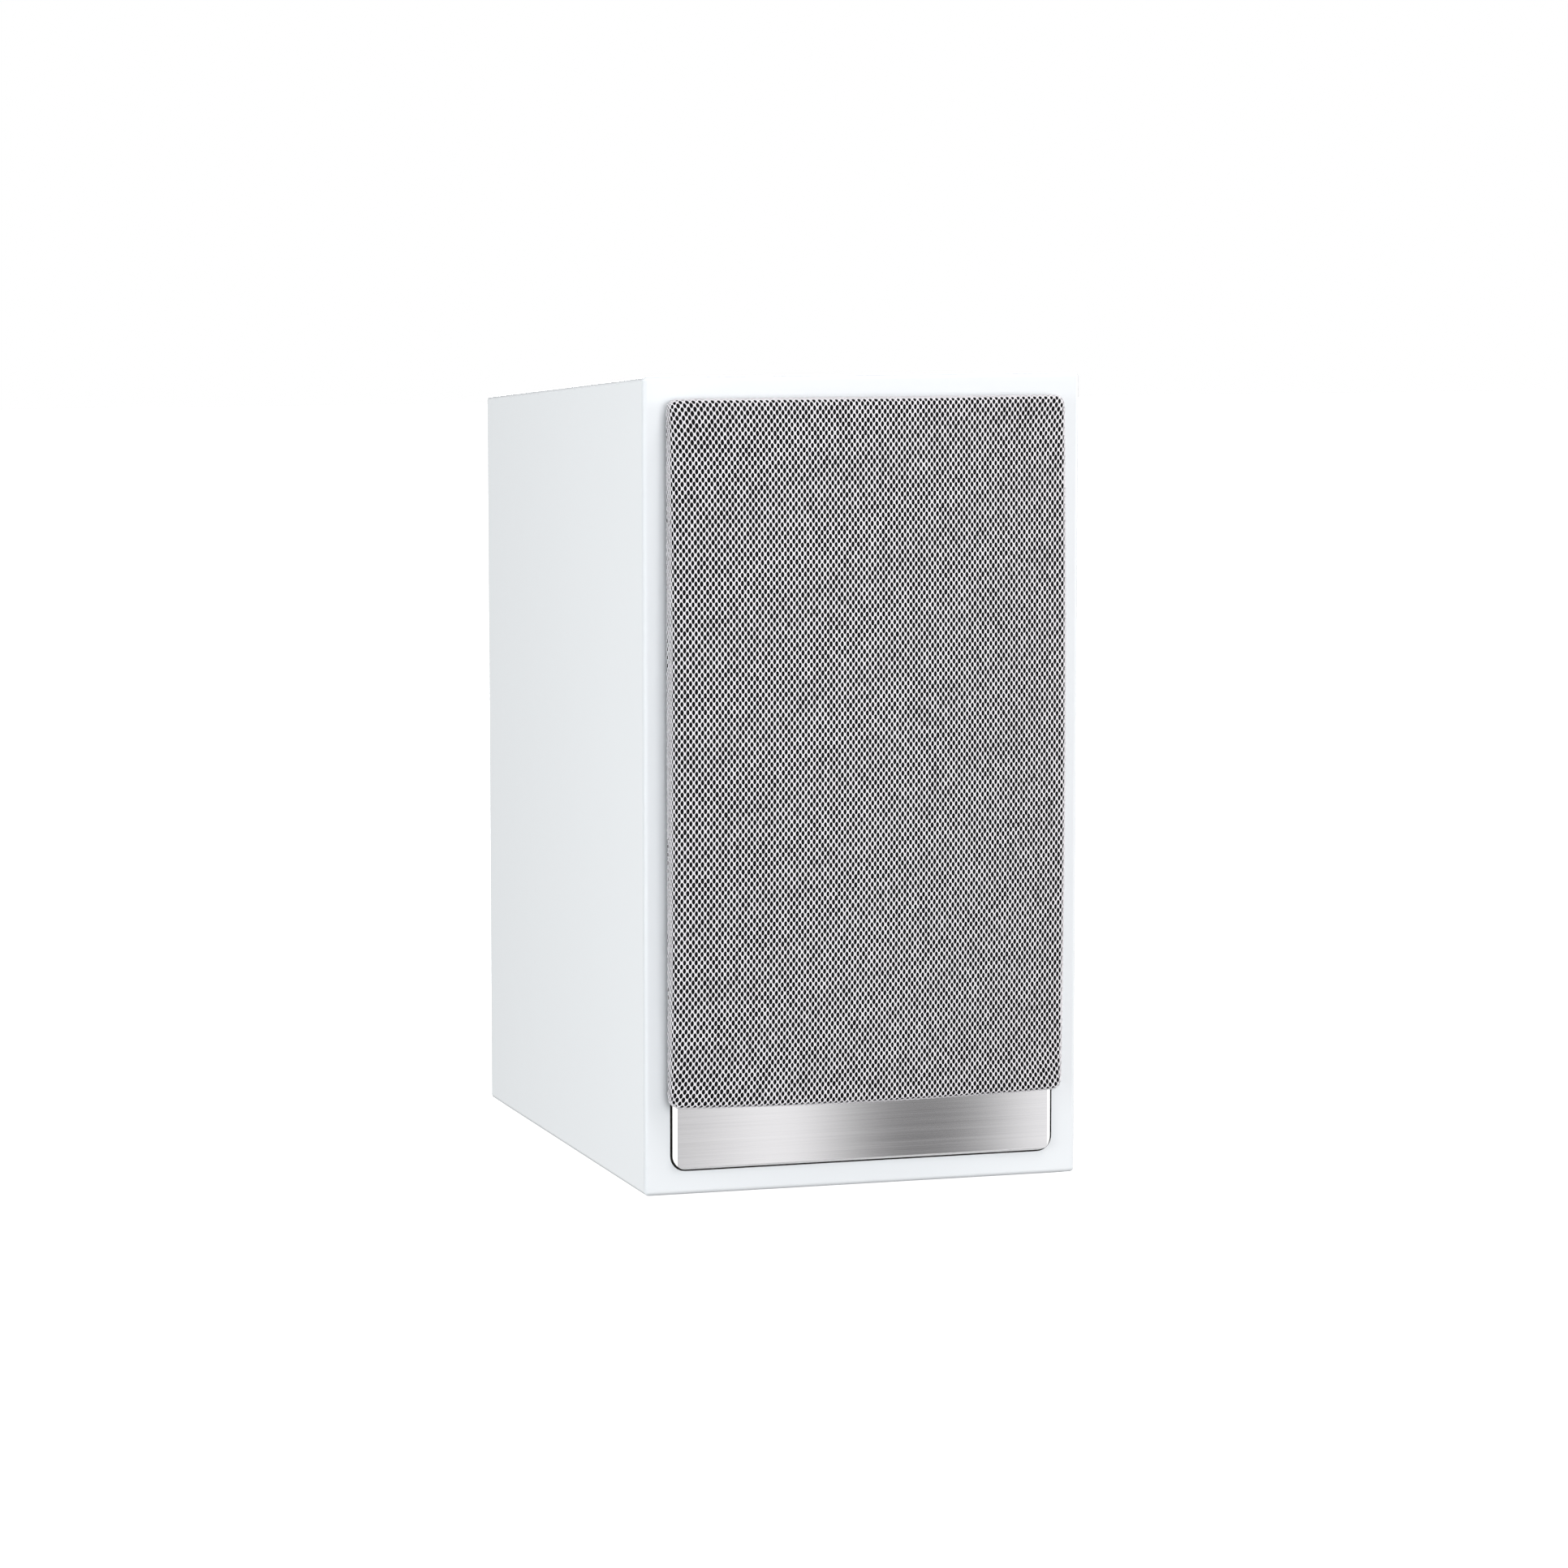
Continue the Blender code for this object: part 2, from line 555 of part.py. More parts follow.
def diaphragm():
    """Pleated foil, folded back and forth across the window."""
    front = FRONT_Y + 8.9 * MM
    depth = 6 * MM
    foil = 0.5 * MM
    width = WINDOW_WIDTH - 2 * MM
    count = 2 * PLEATS
    folds = [(width * (k / count - 0.5), front + depth * (k % 2)) for k in range(count + 1)]
    ring = folds + [(x, y + foil * 2.5) for x, y in reversed(folds)]
    height = WINDOW_HEIGHT - 2 * MM
    bm = bmesh.new()
    low = TWEETER_Z - height / 2
    face = bm.faces.new([bm.verts.new((x, y, low)) for x, y in ring])
    grown = bmesh.ops.extrude_face_region(bm, geom=[face])
    moved = [v for v in grown["geom"] if isinstance(v, bmesh.types.BMVert)]
    bmesh.ops.translate(bm, verts=moved, vec=(0, 0, height))
    bmesh.ops.triangulate(bm, faces=[f for f in bm.faces if len(f.verts) > 4])
    place("tweeter_diaphragm", bm, FOIL, smooth=False)


def tweeter_motor():
    """Magnet frame round the pleats, and the cup that closes the rear."""
    frame_front = FRONT_Y + 8.6 * MM
    frame_back = FRONT_Y + 17 * MM
    frame = block("tweeter_magnet_frame", (MOTOR_WIDTH, frame_back - frame_front, MOTOR_HEIGHT),
                  (0, (frame_front + frame_back) / 2, TWEETER_Z), FERRITE)
    opening = block("cut_motor_window", (WINDOW_WIDTH, 60 * MM, WINDOW_HEIGHT),
                    (0, FRONT_Y, TWEETER_Z), None)
    cut(frame, [opening])
    cup_front = frame_back + GAP
    cup_back = FRONT_Y + 46 * MM
    wall = 3 * MM
    cup = block("tweeter_rear_cup", (MOTOR_WIDTH, cup_back - cup_front, MOTOR_HEIGHT),
                (0, (cup_front + cup_back) / 2, TWEETER_Z), BLACK_PLASTIC)
    hollow = block("cut_cup", (MOTOR_WIDTH - 2 * wall, cup_back - cup_front, MOTOR_HEIGHT - 2 * wall),
                   (0, (cup_front + cup_back) / 2 - wall, TWEETER_Z), None)
    cut(cup, [hollow])


# ------------------------------------------------------------------ rear
def port_tube():
    """Reflex port, flared at both ends."""
    back = REAR_Y + PORT_PROUD
    front = back - PORT_LENGTH
    outer_wall = PORT_NECK + PORT_WALL
    collar = PORT_NECK + PORT_FLARE + 0.6 * MM
    steps = 4
    profile = []
    for k in range(steps + 1):
        angle = math.pi / 2 * k / steps
        profile.append((PORT_NECK + PORT_FLARE * (1 - math.sin(angle)),
                        back - PORT_FLARE * (1 - math.cos(angle))))
    small = 8 * MM
    for k in range(steps + 1):
        angle = math.pi / 2 * k / steps
        profile.append((PORT_NECK + small * (1 - math.cos(angle)),
                        front + small * (1 - math.sin(angle))))
    profile += [(PORT_NECK + small + 2 * MM, front), (PORT_NECK + small + 2 * MM, front + 2 * MM),
                (outer_wall, front + 11 * MM), (outer_wall, back - 22 * MM),
                (collar, back - 15 * MM), (collar, REAR_Y), (PORT_LIP, REAR_Y),
                (PORT_LIP, back - MM), (PORT_LIP - MM, back)]
    turned("port_tube", profile, 28, BLACK_PLASTIC, (0, 0, PORT_Z))


def terminal_plate():
    """Plate that carries the four binding posts."""
    plate = slab("terminal_plate", TERMINAL_WIDTH / 2, TERMINAL_Z - TERMINAL_HEIGHT / 2,
                 TERMINAL_Z + TERMINAL_HEIGHT / 2, 6 * MM, REAR_Y, REAR_Y + TERMINAL_THICKNESS,
                 BLACK_PLASTIC)
    holes = [cylinder_cutter(f"cut_terminal_{name}", STUD_RADIUS, REAR_Y - WALL, REAR_Y + WALL, x, z, 20)
             for name, x, z in post_places()]
    cut(plate, holes)


def post_places():
    """Names and places in X and Z of the binding posts."""
    return [(f"{end}_{side}", x, z)
            for end, z in (("upper", TERMINAL_Z + POST_Z), ("lower", TERMINAL_Z - POST_Z))
            for side, x in (("left", -POST_X), ("right", POST_X))]


def binding_posts():
    """Threaded studs with their insulator, clamp washers, and ribbed knobs."""
    face = REAR_Y + TERMINAL_THICKNESS + GAP
    seat = face + BASE_HEIGHT
    washer_front = seat + GAP + STRAP_THICKNESS + GAP
    knob_front = washer_front + WASHER_THICKNESS + GAP
    stud_end = REAR_REACH - 2 * MM
    neck = STUD_RADIUS - GAP
    socket = 2 * MM
    bore = STUD_RADIUS + 0.4 * MM
    inside = REAR_Y - GAP
    post = [(0, inside - 9 * MM), (neck, inside - 9 * MM), (neck, inside - 3 * MM),
            (6 * MM, inside - 3 * MM), (6 * MM, inside), (neck, inside), (neck, face),
            (BASE_RADIUS, face), (BASE_RADIUS, seat - 0.5 * MM), (BASE_RADIUS - 0.5 * MM, seat),
            (STUD_RADIUS, seat), (STUD_RADIUS, stud_end), (socket, stud_end),
            (socket, stud_end - 10 * MM), (0, stud_end - 10 * MM)]
    washer = [(bore, washer_front), (WASHER_RADIUS, washer_front),
              (WASHER_RADIUS, washer_front + WASHER_THICKNESS), (bore, washer_front + WASHER_THICKNESS)]
    for name, x, z in post_places():
        turned(f"terminal_post_{name}", post, 16, GOLD, (x, 0, z))
        turned(f"terminal_washer_{name}", washer, 16, GOLD, (x, 0, z))
        terminal_knob(f"terminal_knob_{name}", knob_front, bore, x, z)


def terminal_knob(name, front, bore, x, z):
    """Knob with ribs for the fingers and a bore for the stud and the plug."""
    steps = 4 * KNOB_RIBS
    outline = []
    for k in range(steps):
        angle = 2 * math.pi * k / steps
        radius = KNOB_RADIUS - 0.35 * MM * (1 - math.cos(KNOB_RIBS * angle))
        outline.append((radius * math.cos(angle), radius * math.sin(angle)))
    bm = prism(outline, front, REAR_REACH)
    rims = [e for e in bm.edges if abs(e.verts[0].co.y - e.verts[1].co.y) < 1e-6]
    rims = [e for e in rims if e.verts[0].co.y > REAR_REACH - 1e-6]
    bmesh.ops.bevel(bm, geom=rims, offset=0.5 * MM, segments=1, affect="EDGES")
    knob = place(name, bm, BLACK_PLASTIC, (x, 0, z))
    cut(knob, [cylinder_cutter(f"cut_{name}", bore, front - WALL, REAR_REACH + WALL, x, z, 20)])


def jumper_straps():
    """Flat links that join the upper and lower posts of each side."""
    front = REAR_Y + TERMINAL_THICKNESS + GAP + BASE_HEIGHT + GAP
    for side, x in (("left", -POST_X), ("right", POST_X)):
        outline = rounded_outline(STRAP_HALF_WIDTH, -POST_Z - STRAP_HALF_WIDTH,
                                  POST_Z + STRAP_HALF_WIDTH, STRAP_HALF_WIDTH - 0.1 * MM)
        strap = place(f"jumper_strap_{side}", prism(outline, front, front + STRAP_THICKNESS), GOLD,
                      (x, 0, TERMINAL_Z))
        cut(strap, [cylinder_cutter(f"cut_strap_{side}_{end}", STUD_RADIUS + 0.4 * MM, front - WALL,
                                    front + WALL, x, TERMINAL_Z + sign * POST_Z, 20)
                    for end, sign in (("upper", 1), ("lower", -1))])


# ------------------------------------------------------------------ inside
def crossover():
    """Board on standoffs with its coils, capacitors and resistor."""
    board_z = FLOOR_Z + 6 * MM
    thickness = 1.6 * MM
    middle_y = 52 * MM
    board = block("crossover_board", (100 * MM, 84 * MM, thickness), (0, middle_y, board_z), CIRCUIT)
    standoffs = []
    for side in (-1, 1):
        for end in (-1, 1):
            height = board_z - FLOOR_Z - GAP
            profile = [(0, FLOOR_Z + GAP), (3 * MM, FLOOR_Z + GAP), (3 * MM, FLOOR_Z + GAP + height),
                       (0, FLOOR_Z + GAP + height)]
            standoffs.append(turned(f"join_standoff_{side}_{end}", profile, 10, None,
                                    (side * 44 * MM, middle_y + end * 36 * MM, 0), "Z"))
    cut(board, standoffs, "UNION")
    top = board_z + thickness / 2 + GAP
    for name, x, y, radius, height in (("inductor_woofer", -28, 30, 20, 16),
                                       ("inductor_tweeter", 30, 32, 13, 11)):
        hub = 0.4 * radius * MM
        profile = [(hub, top), (radius * MM, top), (radius * MM, top + height * MM),
                   (hub, top + height * MM)]
        turned(name, profile, 28, COPPER, (x * MM, y * MM, 0), "Z")
    for name, x, radius, length in (("capacitor_tweeter", 22, 8, 34), ("capacitor_woofer", -6, 7, 30)):
        front = 56 * MM
        profile = [(0, front), (radius * MM, front), (radius * MM, front + length * MM),
                   (0, front + length * MM)]
        turned(name, profile, 20, FILM, (x * MM, 0, top + radius * MM))
    block("resistor", (9 * MM, 30 * MM, 9 * MM), (-30 * MM, 74 * MM, top + 4.5 * MM), CERAMIC, 0.8 * MM, 1)


def smooth_route(points, count):
    """Points of a smooth curve through a list of points."""
    route = []
    last = len(points) - 1
    for k in range(count + 1):
        place_on = k / count * last
        i = min(int(place_on), last - 1)
        t = place_on - i
        before, start = Vector(points[max(i - 1, 0)]), Vector(points[i])
        end, after = Vector(points[i + 1]), Vector(points[min(i + 2, last)])
        route.append(0.5 * (2 * start + (end - before) * t
                            + (2 * before - 5 * start + 4 * end - after) * t ** 2
                            + (3 * start - before - 3 * end + after) * t ** 3))
    return route


def lead(name, points, radius):
    """A round lead along a smooth route, given in millimetres."""
    route = smooth_route([Vector(p) * MM for p in points], 18)
    curve = bpy.data.curves.new(name, "CURVE")
    curve.dimensions = "3D"
    curve.bevel_depth = radius
    curve.bevel_resolution = 1
    curve.use_fill_caps = True
    spline = curve.splines.new("POLY")
    spline.points.add(len(route) - 1)
    for point, place_at in zip(spline.points, route):
        point.co = (*place_at, 1)
    curve.materials.append(material(*LEAD))
    obj = bpy.data.objects.new(name, curve)
    bpy.context.scene.collection.objects.link(obj)


def leads():
    """Leads from the terminals to the board and from the board to both drivers."""
    lead("input_lead", [(-9.5, 120.0, 66), (-9.5, 113, 62), (-12, 106, 50), (-14, 98, 36),
                        (-17, 93, 28), (-17, 90, 25)], 1.5 * MM)
    lead("woofer_lead", [(-10, 16, 26), (-20, 8, 40), (-52, -6, 66), (-64, -30, 92),
                         (-66, -52, 112), (-62, -66, 122), (-56, -71, 126)], 1.5 * MM)
    lead("tweeter_lead", [(12, 16, 26), (22, 4, 46), (34, -8, 110), (36, -20, 180),
                          (30, -34, 224), (20, -60, 250), (12, -74, 258), (10, -83, 260)], 1.5 * MM)


# ------------------------------------------------------------------ grille
def crown(x, z):
    """Rise of the grille's front over its rim."""
    middle = (GRILLE_BOTTOM + GRILLE_TOP) / 2
    half_height = (GRILLE_TOP - GRILLE_BOTTOM) / 2
    across = CROWN_ACROSS * (1 - (x / GRILLE_HALF_WIDTH) ** 2)
    along = CROWN_ALONG * (1 - ((z - middle) / half_height) ** 2)
    return across + along


def crowned_block(name, inset, back, finish):
    """A block that follows the grille's outer surface at a distance inside it."""
    half_width = GRILLE_HALF_WIDTH - inset
    low = GRILLE_BOTTOM + inset
    high = GRILLE_TOP - inset
    corner = GRILLE_CORNER - inset
    edge = GRILLE_EDGE_RADIUS - inset
    rim = FRONT_Y - GRILLE_EDGE + inset
    bm = bmesh.new()
    rings = []
    levels = [(0, back), (0, rim + edge)]
    steps = 2
    for k in range(1, steps + 1):
        angle = math.pi / 2 * k / steps
        levels.append((edge * (1 - math.cos(angle)), rim + edge * (1 - math.sin(angle))))
    for step_in, y in levels:
        outline = rounded_outline(half_width - step_in, low + step_in, high - step_in,
                                  corner - step_in * 0.7, 4)
        rings.append([bm.verts.new((x, y, z)) for x, z in outline])
    for lower, upper in zip(rings, rings[1:]):
        for i in range(len(lower)):
            j = (i + 1) % len(lower)
            bm.faces.new((lower[i], lower[j], upper[j], upper[i]))
    bm.faces.new(rings[0])
    bm.faces.new(rings[-1])
    slices = [((x * half_width, 0, 0), (1, 0, 0)) for x in (-0.84, -0.6, -0.3, 0, 0.3, 0.6, 0.84)]
    slices += [((0, 0, low + (high - low) * k / 8), (0, 0, 1)) for k in range(1, 8)]
    for point, normal in slices:
        bmesh.ops.bisect_plane(bm, geom=bm.verts[:] + bm.edges[:] + bm.faces[:],
                               plane_co=point, plane_no=normal)
    for vert in bm.verts:
        if vert.co.y < back - 1e-6:
            vert.co.y -= crown(vert.co.x, vert.co.z)
    return place(name, bm, finish)


def grille():
    """Moulded frame with one cross bar, and the cloth that wraps it."""
    back = FRONT_Y - GRILLE_BACK
    cloth = crowned_block("grille_cloth", 0, back, CLOTH_GREY)
    cut(cloth, [crowned_block("cut_cloth_hollow", CLOTH, back + WALL, None)])
    inset = CLOTH + GAP
    frame = crowned_block("grille_frame", inset, back, BLACK_PLASTIC)
    half_width = GRILLE_HALF_WIDTH - inset - FRAME_RING
    windows = (("upper", CROSS_BAR_Z + CROSS_BAR / 2, GRILLE_TOP - inset - FRAME_RING),
               ("lower", GRILLE_BOTTOM + inset + FRAME_RING, CROSS_BAR_Z - CROSS_BAR / 2))
    cut(frame, [slab(f"cut_frame_{end}", half_width, low, high, 8 * MM, back - 4 * WALL, back + WALL, None)
                for end, low, high in windows])


def build():
    clear_scene()
    cabinet_shell()
    rear_panel()
    internal_brace()
    damping_wadding()
    feet()
    front_plate()
    woofer_basket()
    surround()
    cone()
    spider()
    magnet_system()
    driver_screws()
    tweeter_faceplate()
    pole_grid()
    diaphragm()
    tweeter_motor()
    port_tube()
    terminal_plate()
    binding_posts()
    jumper_straps()
    crossover()
    leads()
    grille()


build()
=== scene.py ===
import math

import bmesh
import bpy
import numpy as np
from mathutils import Matrix, Vector


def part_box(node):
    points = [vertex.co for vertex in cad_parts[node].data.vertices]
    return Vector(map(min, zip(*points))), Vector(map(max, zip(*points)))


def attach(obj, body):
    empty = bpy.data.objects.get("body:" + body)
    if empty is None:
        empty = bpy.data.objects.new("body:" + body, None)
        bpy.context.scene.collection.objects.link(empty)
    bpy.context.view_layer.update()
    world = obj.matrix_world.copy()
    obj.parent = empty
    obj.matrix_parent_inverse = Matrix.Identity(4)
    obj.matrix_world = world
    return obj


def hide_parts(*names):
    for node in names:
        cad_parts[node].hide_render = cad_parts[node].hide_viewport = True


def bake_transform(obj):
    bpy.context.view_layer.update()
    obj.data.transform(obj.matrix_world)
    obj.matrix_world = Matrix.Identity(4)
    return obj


# Looks of a two-way bookshelf loudspeaker in gloss white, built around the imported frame.
# Metres, +Z up, and the front faces -Y. Depths count from the front of the baffle, inwards.

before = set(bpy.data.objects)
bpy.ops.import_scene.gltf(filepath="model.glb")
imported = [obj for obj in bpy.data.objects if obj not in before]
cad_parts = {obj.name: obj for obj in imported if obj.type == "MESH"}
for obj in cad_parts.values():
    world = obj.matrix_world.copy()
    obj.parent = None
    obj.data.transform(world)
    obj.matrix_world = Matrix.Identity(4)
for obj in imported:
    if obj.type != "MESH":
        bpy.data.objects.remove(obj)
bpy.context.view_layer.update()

MM = 0.001
GAP = 0.3 * MM
SEED = 7
WAVE_SCALE = math.pi / 10          # scale of a wave node whose stripes repeat every metre

# Cabinet
shell_low, shell_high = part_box("cabinet_shell")
FRONT_Y = shell_low.y
REAR_Y = shell_high.y
HALF_WIDTH = shell_high.x
BASE_Z = shell_low.z
TOP_Z = shell_high.z
TOP_FALL = 17.6 * MM               # how much lower the top is at the rear
WALL = 15 * MM
BAFFLE = 18 * MM
EDGE_RADIUS = 2 * MM

# Front plate, and the recess it sits in
plate_low, plate_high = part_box("front_plate")
PLATE_CORNER = 5.8 * MM
SIDE_BEVEL = 1.9 * MM
SIDE_BEVEL_DEPTH = 1.35 * MM
END_BEVEL = 0.9 * MM
RECESS_MARGIN = 0.85 * MM
RECESS_DEPTH = 1 * MM

# Woofer
WOOFER_Z = 126 * MM
FLANGE_RADIUS = 79 * MM
FLANGE_PROUD = 1.8 * MM
WOOFER_HOLE = 71.5 * MM
SCREW_CIRCLE = 74.7 * MM
ROLL_CENTRE = 61.3 * MM
ROLL_RADIUS = 4.7 * MM
RUBBER = 0.7 * MM
CAP_RADIUS = 22 * MM
CAP_RISE = 9 * MM
SPIDER_DEPTH = 41 * MM
SURROUND_SLICES = 36
SPIDER_SLICES = 24

# Tweeter
TWEETER_Z = 268 * MM
FACE_HALF_WIDTH = 64 * MM
FACE_HALF_HEIGHT = 50 * MM
FACE_CORNER = 5 * MM
TWEETER_HOLE_HALF_WIDTH = 48 * MM
TWEETER_HOLE_HALF_HEIGHT = 35 * MM
TWEETER_SCREW_X = 56 * MM
TWEETER_SCREW_Z = 42 * MM
PLEATS = 15
HEAD_RADIUS = 3.2 * MM
HEAD_HEIGHT = 1.4 * MM
SOCKET_RADIUS = 1.35 * MM
SHANK_RADIUS = 1.8 * MM
SHANK_LENGTH = 13 * MM

# Rear
PORT_Z = 256 * MM
PORT_NECK = 26 * MM
PORT_FLARE = 13 * MM
PORT_LIP = 46 * MM
port_low, port_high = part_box("port_tube")
TERMINAL_Z = 84 * MM
TERMINAL_HALF_WIDTH = 46 * MM
TERMINAL_HALF_HEIGHT = 40 * MM
TERMINAL_THICKNESS = 3 * MM
POST_X = 9.5 * MM
POST_Z = 14 * MM
STUD_RADIUS = 3 * MM
KNOB_BORE = STUD_RADIUS + 0.4 * MM
KNOB_RING_FRONT = 3.4 * MM         # how far the coloured ring's ends lie before the knob's end
KNOB_RING_BACK = 1.8 * MM

# Inside
WADDING = 10 * MM
QUILTING = 45 * MM
LEAD_RADIUS = 1.5 * MM
EASED_EDGE = {"rear_panel": 0.5 * MM, "internal_brace": 0.8 * MM, "woofer_magnet": 0.8 * MM,
              "woofer_back_plate": 0.5 * MM, "woofer_top_plate": 0.4 * MM}

# Grille
cloth_low, cloth_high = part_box("grille_cloth")
GRILLE_HALF_WIDTH = cloth_high.x
GRILLE_HALF_HEIGHT = (cloth_high.z - cloth_low.z) / 2
GRILLE_MIDDLE = (cloth_high.z + cloth_low.z) / 2
GRILLE_BACK = FRONT_Y - cloth_high.y   # height of its back over the baffle
RIM_HEIGHT = 8.8 * MM
GRILLE_CORNER = 4.5 * MM
GRILLE_EDGE = 2.5 * MM
CROSS_BAR_Z = 209 * MM
CROWN_ACROSS = 7.9 * MM
CROWN_ALONG = 3.3 * MM

# Net of the grille cloth: two holes in each cell of the knit
CELL_ACROSS = 2.41 * MM
CELL_UP = 3.43 * MM
HOLE_ACROSS = 1.38 * MM
HOLE_UP = 2.42 * MM
THREAD_DEPTH = 0.42 * MM
THREAD_WANDER = 0.02 * MM
SAME = 1e-7                        # corners closer than this are one point of the knit
HEM = 5 * MM                       # how far the cloth turns in behind the frame
CORNER_STRETCH = 4.2 * MM
CORNER_DROP = 1.1 * MM
# The black lining under the net is painted shade for the inside of the grille.
SCRIM_SINK = 0.8 * MM              # how far the black lining lies under the net

# Camera
CAMERA_PLACE = (-0.706, -2.262, 0.422)
CAMERA_TILT = 83.67
CAMERA_TURN = -17.47
CAMERA_LENS = 123.3

# Studio: the world's levels from above, from below and in reflections
WORLD_ABOVE = 0.40
WORLD_BELOW = 0.24
WORLD_REFLECTED = 0.45
FLOOR_REACH = 8
AIM = (0, -0.1, 0.17)
REAR_AIM = (0, 0.1, 0.17)
SQUARE = (1.4, 1.4)
WARM = (1, 0.97, 0.95)
COOL = (0.97, 0.99, 1)
NEUTRAL = (0.99, 0.975, 0.985)

# Cards that only reflections see, with their levels as (X, brightness) from left to right
CARD_Z = -0.5
CARD_HEIGHT = 16
FRONT_CARD_Y = -3.0
FRONT_LEVELS = ((-0.35, 0.55), (0.70, 0.60), (0.775, 0.70), (0.845, 1.05), (0.88, 1.08),
                (0.935, 0.55), (0.98, 0.21), (1.04, 0.19), (1.075, 0.38), (1.13, 1.0),
                (1.3, 1.15), (2.5, 1.1))
SIDE_CARD_Y = 3.0
SIDE_LEVELS = ((-1.9, 2.1), (-0.99, 1.15), (-0.84, 0.95), (-0.1, 0.2))
STRIP_SIZE = (1.2, 4)
STRIP_RADIANCE = 0.9


# ------------------------------------------------------------------ materials
class Finish:
    """A Principled material and short calls for the nodes that give it its detail."""

    def __init__(self, name, colour, roughness, metallic=0.0, **sockets):
        self.material = bpy.data.materials.new(name)
        self.material.use_nodes = True
        self.tree = self.material.node_tree
        self.shader = self.tree.nodes["Principled BSDF"]
        self.shader.inputs["Base Color"].default_value = (*colour, 1)
        self.shader.inputs["Roughness"].default_value = roughness
        self.shader.inputs["Metallic"].default_value = metallic
        for socket, value in sockets.items():
            self.shader.inputs[socket.replace("_", " ")].default_value = value
        self.material.diffuse_color = (*colour, 1)
        self.colour = colour
        self.bumps = None

    def node(self, kind, **settings):
        """A new shader node of a kind, with its settings."""
        made = self.tree.nodes.new("ShaderNode" + kind)
        for name, value in settings.items():
            setattr(made, name, value)
        return made

    def feed(self, socket, value):
        """Put a value on a socket, or link another node's output to it."""
        if isinstance(value, bpy.types.NodeSocket):
            self.tree.links.new(value, socket)
        else:
            socket.default_value = value

    def place(self, stretch=(1, 1, 1), offset=(0, 0, 0)):
        """Object coordinates in metres, stretched for a grain that runs one way."""
        coordinates = self.node("TexCoord")
        mapping = self.node("Mapping")
        self.feed(mapping.inputs["Vector"], coordinates.outputs["Object"])
        mapping.inputs["Location"].default_value = offset
        mapping.inputs["Scale"].default_value = stretch
        return mapping.outputs["Vector"]

    def noise(self, size, stretch=(1, 1, 1), detail=3.0, rough=0.5):
        """Noise whose lumps measure about size metres."""
        made = self.node("TexNoise")
        self.feed(made.inputs["Vector"], self.place(stretch))
        made.inputs["Scale"].default_value = 1 / size
        made.inputs["Detail"].default_value = detail
        made.inputs["Roughness"].default_value = rough
        return made.outputs["Fac"]

    def cells(self, size, feature="F1"):
        """Distances in a pattern of cells about size metres wide."""
        made = self.node("TexVoronoi", feature=feature)
        self.feed(made.inputs["Vector"], self.place())
        made.inputs["Scale"].default_value = 1 / size
        return made.outputs["Distance"]

    def waves(self, size, stretch=(1, 1, 1), direction="X", wander=0.0):
        """Stripes that repeat every size metres."""
        made = self.node("TexWave", bands_direction=direction)
        self.feed(made.inputs["Vector"], self.place(stretch))
        made.inputs["Scale"].default_value = WAVE_SCALE / size
        made.inputs["Distortion"].default_value = wander
        return made.outputs["Fac"]

    def spread(self, value, low, high, start=0.0, end=1.0):
        """Map a value from start..end to low..high."""
        made = self.node("MapRange")
        self.feed(made.inputs["Value"], value)
        made.inputs["From Min"].default_value = start
        made.inputs["From Max"].default_value = end
        made.inputs["To Min"].default_value = low
        made.inputs["To Max"].default_value = high
        return made.outputs["Result"]

    def product(self, a, b, operation="MULTIPLY"):
        """Two values multiplied, or joined by another operation."""
        made = self.node("Math", operation=operation)
        self.feed(made.inputs[0], a)
        self.feed(made.inputs[1], b)
        return made.outputs[0]

    def blend(self, factor, a, b):
        """A colour between two colours."""
        made = self.node("Mix", data_type="RGBA")
        self.feed(made.inputs[0], factor)
        for socket, colour in ((made.inputs[6], a), (made.inputs[7], b)):
            self.feed(socket, colour if isinstance(colour, bpy.types.NodeSocket) else (*colour, 1))
        return made.outputs[2]

    def paint(self, factor, a, b):
        """Base colour between two colours."""
        self.feed(self.shader.inputs["Base Color"], self.blend(factor, a, b))
        return self

    def polish(self, factor, low, high, start=0.3, end=0.7):
        """Roughness that varies with a pattern."""
        self.feed(self.shader.inputs["Roughness"], self.spread(factor, low, high, start, end))
        return self

    def relief(self, height, depth):
        """Bump of a depth in metres, added to any bump that is there."""
        made = self.node("Bump")
        made.inputs["Distance"].default_value = depth
        made.inputs["Strength"].default_value = 1.0
        self.feed(made.inputs["Height"], height)
        if self.bumps:
            self.feed(made.inputs["Normal"], self.bumps)
        self.bumps = made.outputs["Normal"]
        self.feed(self.shader.inputs["Normal"], self.bumps)
        return self

    def mottle(self, size, amount, stretch=(1, 1, 1)):
        """A soft variation of the colour by a share of its brightness."""
        darker = tuple(c * (1 - amount) for c in self.colour)
        lighter = tuple(min(1, c * (1 + amount)) for c in self.colour)
        return self.paint(self.spread(self.noise(size, stretch), 0, 1, 0.3, 0.7), darker, lighter)


def lacquer(name):
    """Sprayed gloss white, with a trace of orange peel and of polishing haze."""
    made = Finish(name, (0.825, 0.860, 0.885), 0.2, IOR=1.5, Coat_Weight=0.35, Coat_Roughness=0.08)
    made.mottle(90 * MM, 0.003, (1, 1, 0.35))
    made.polish(made.noise(40 * MM), 0.19, 0.22)
    made.relief(made.noise(2.2 * MM, detail=1.0), 0.0025 * MM)
    return made.material


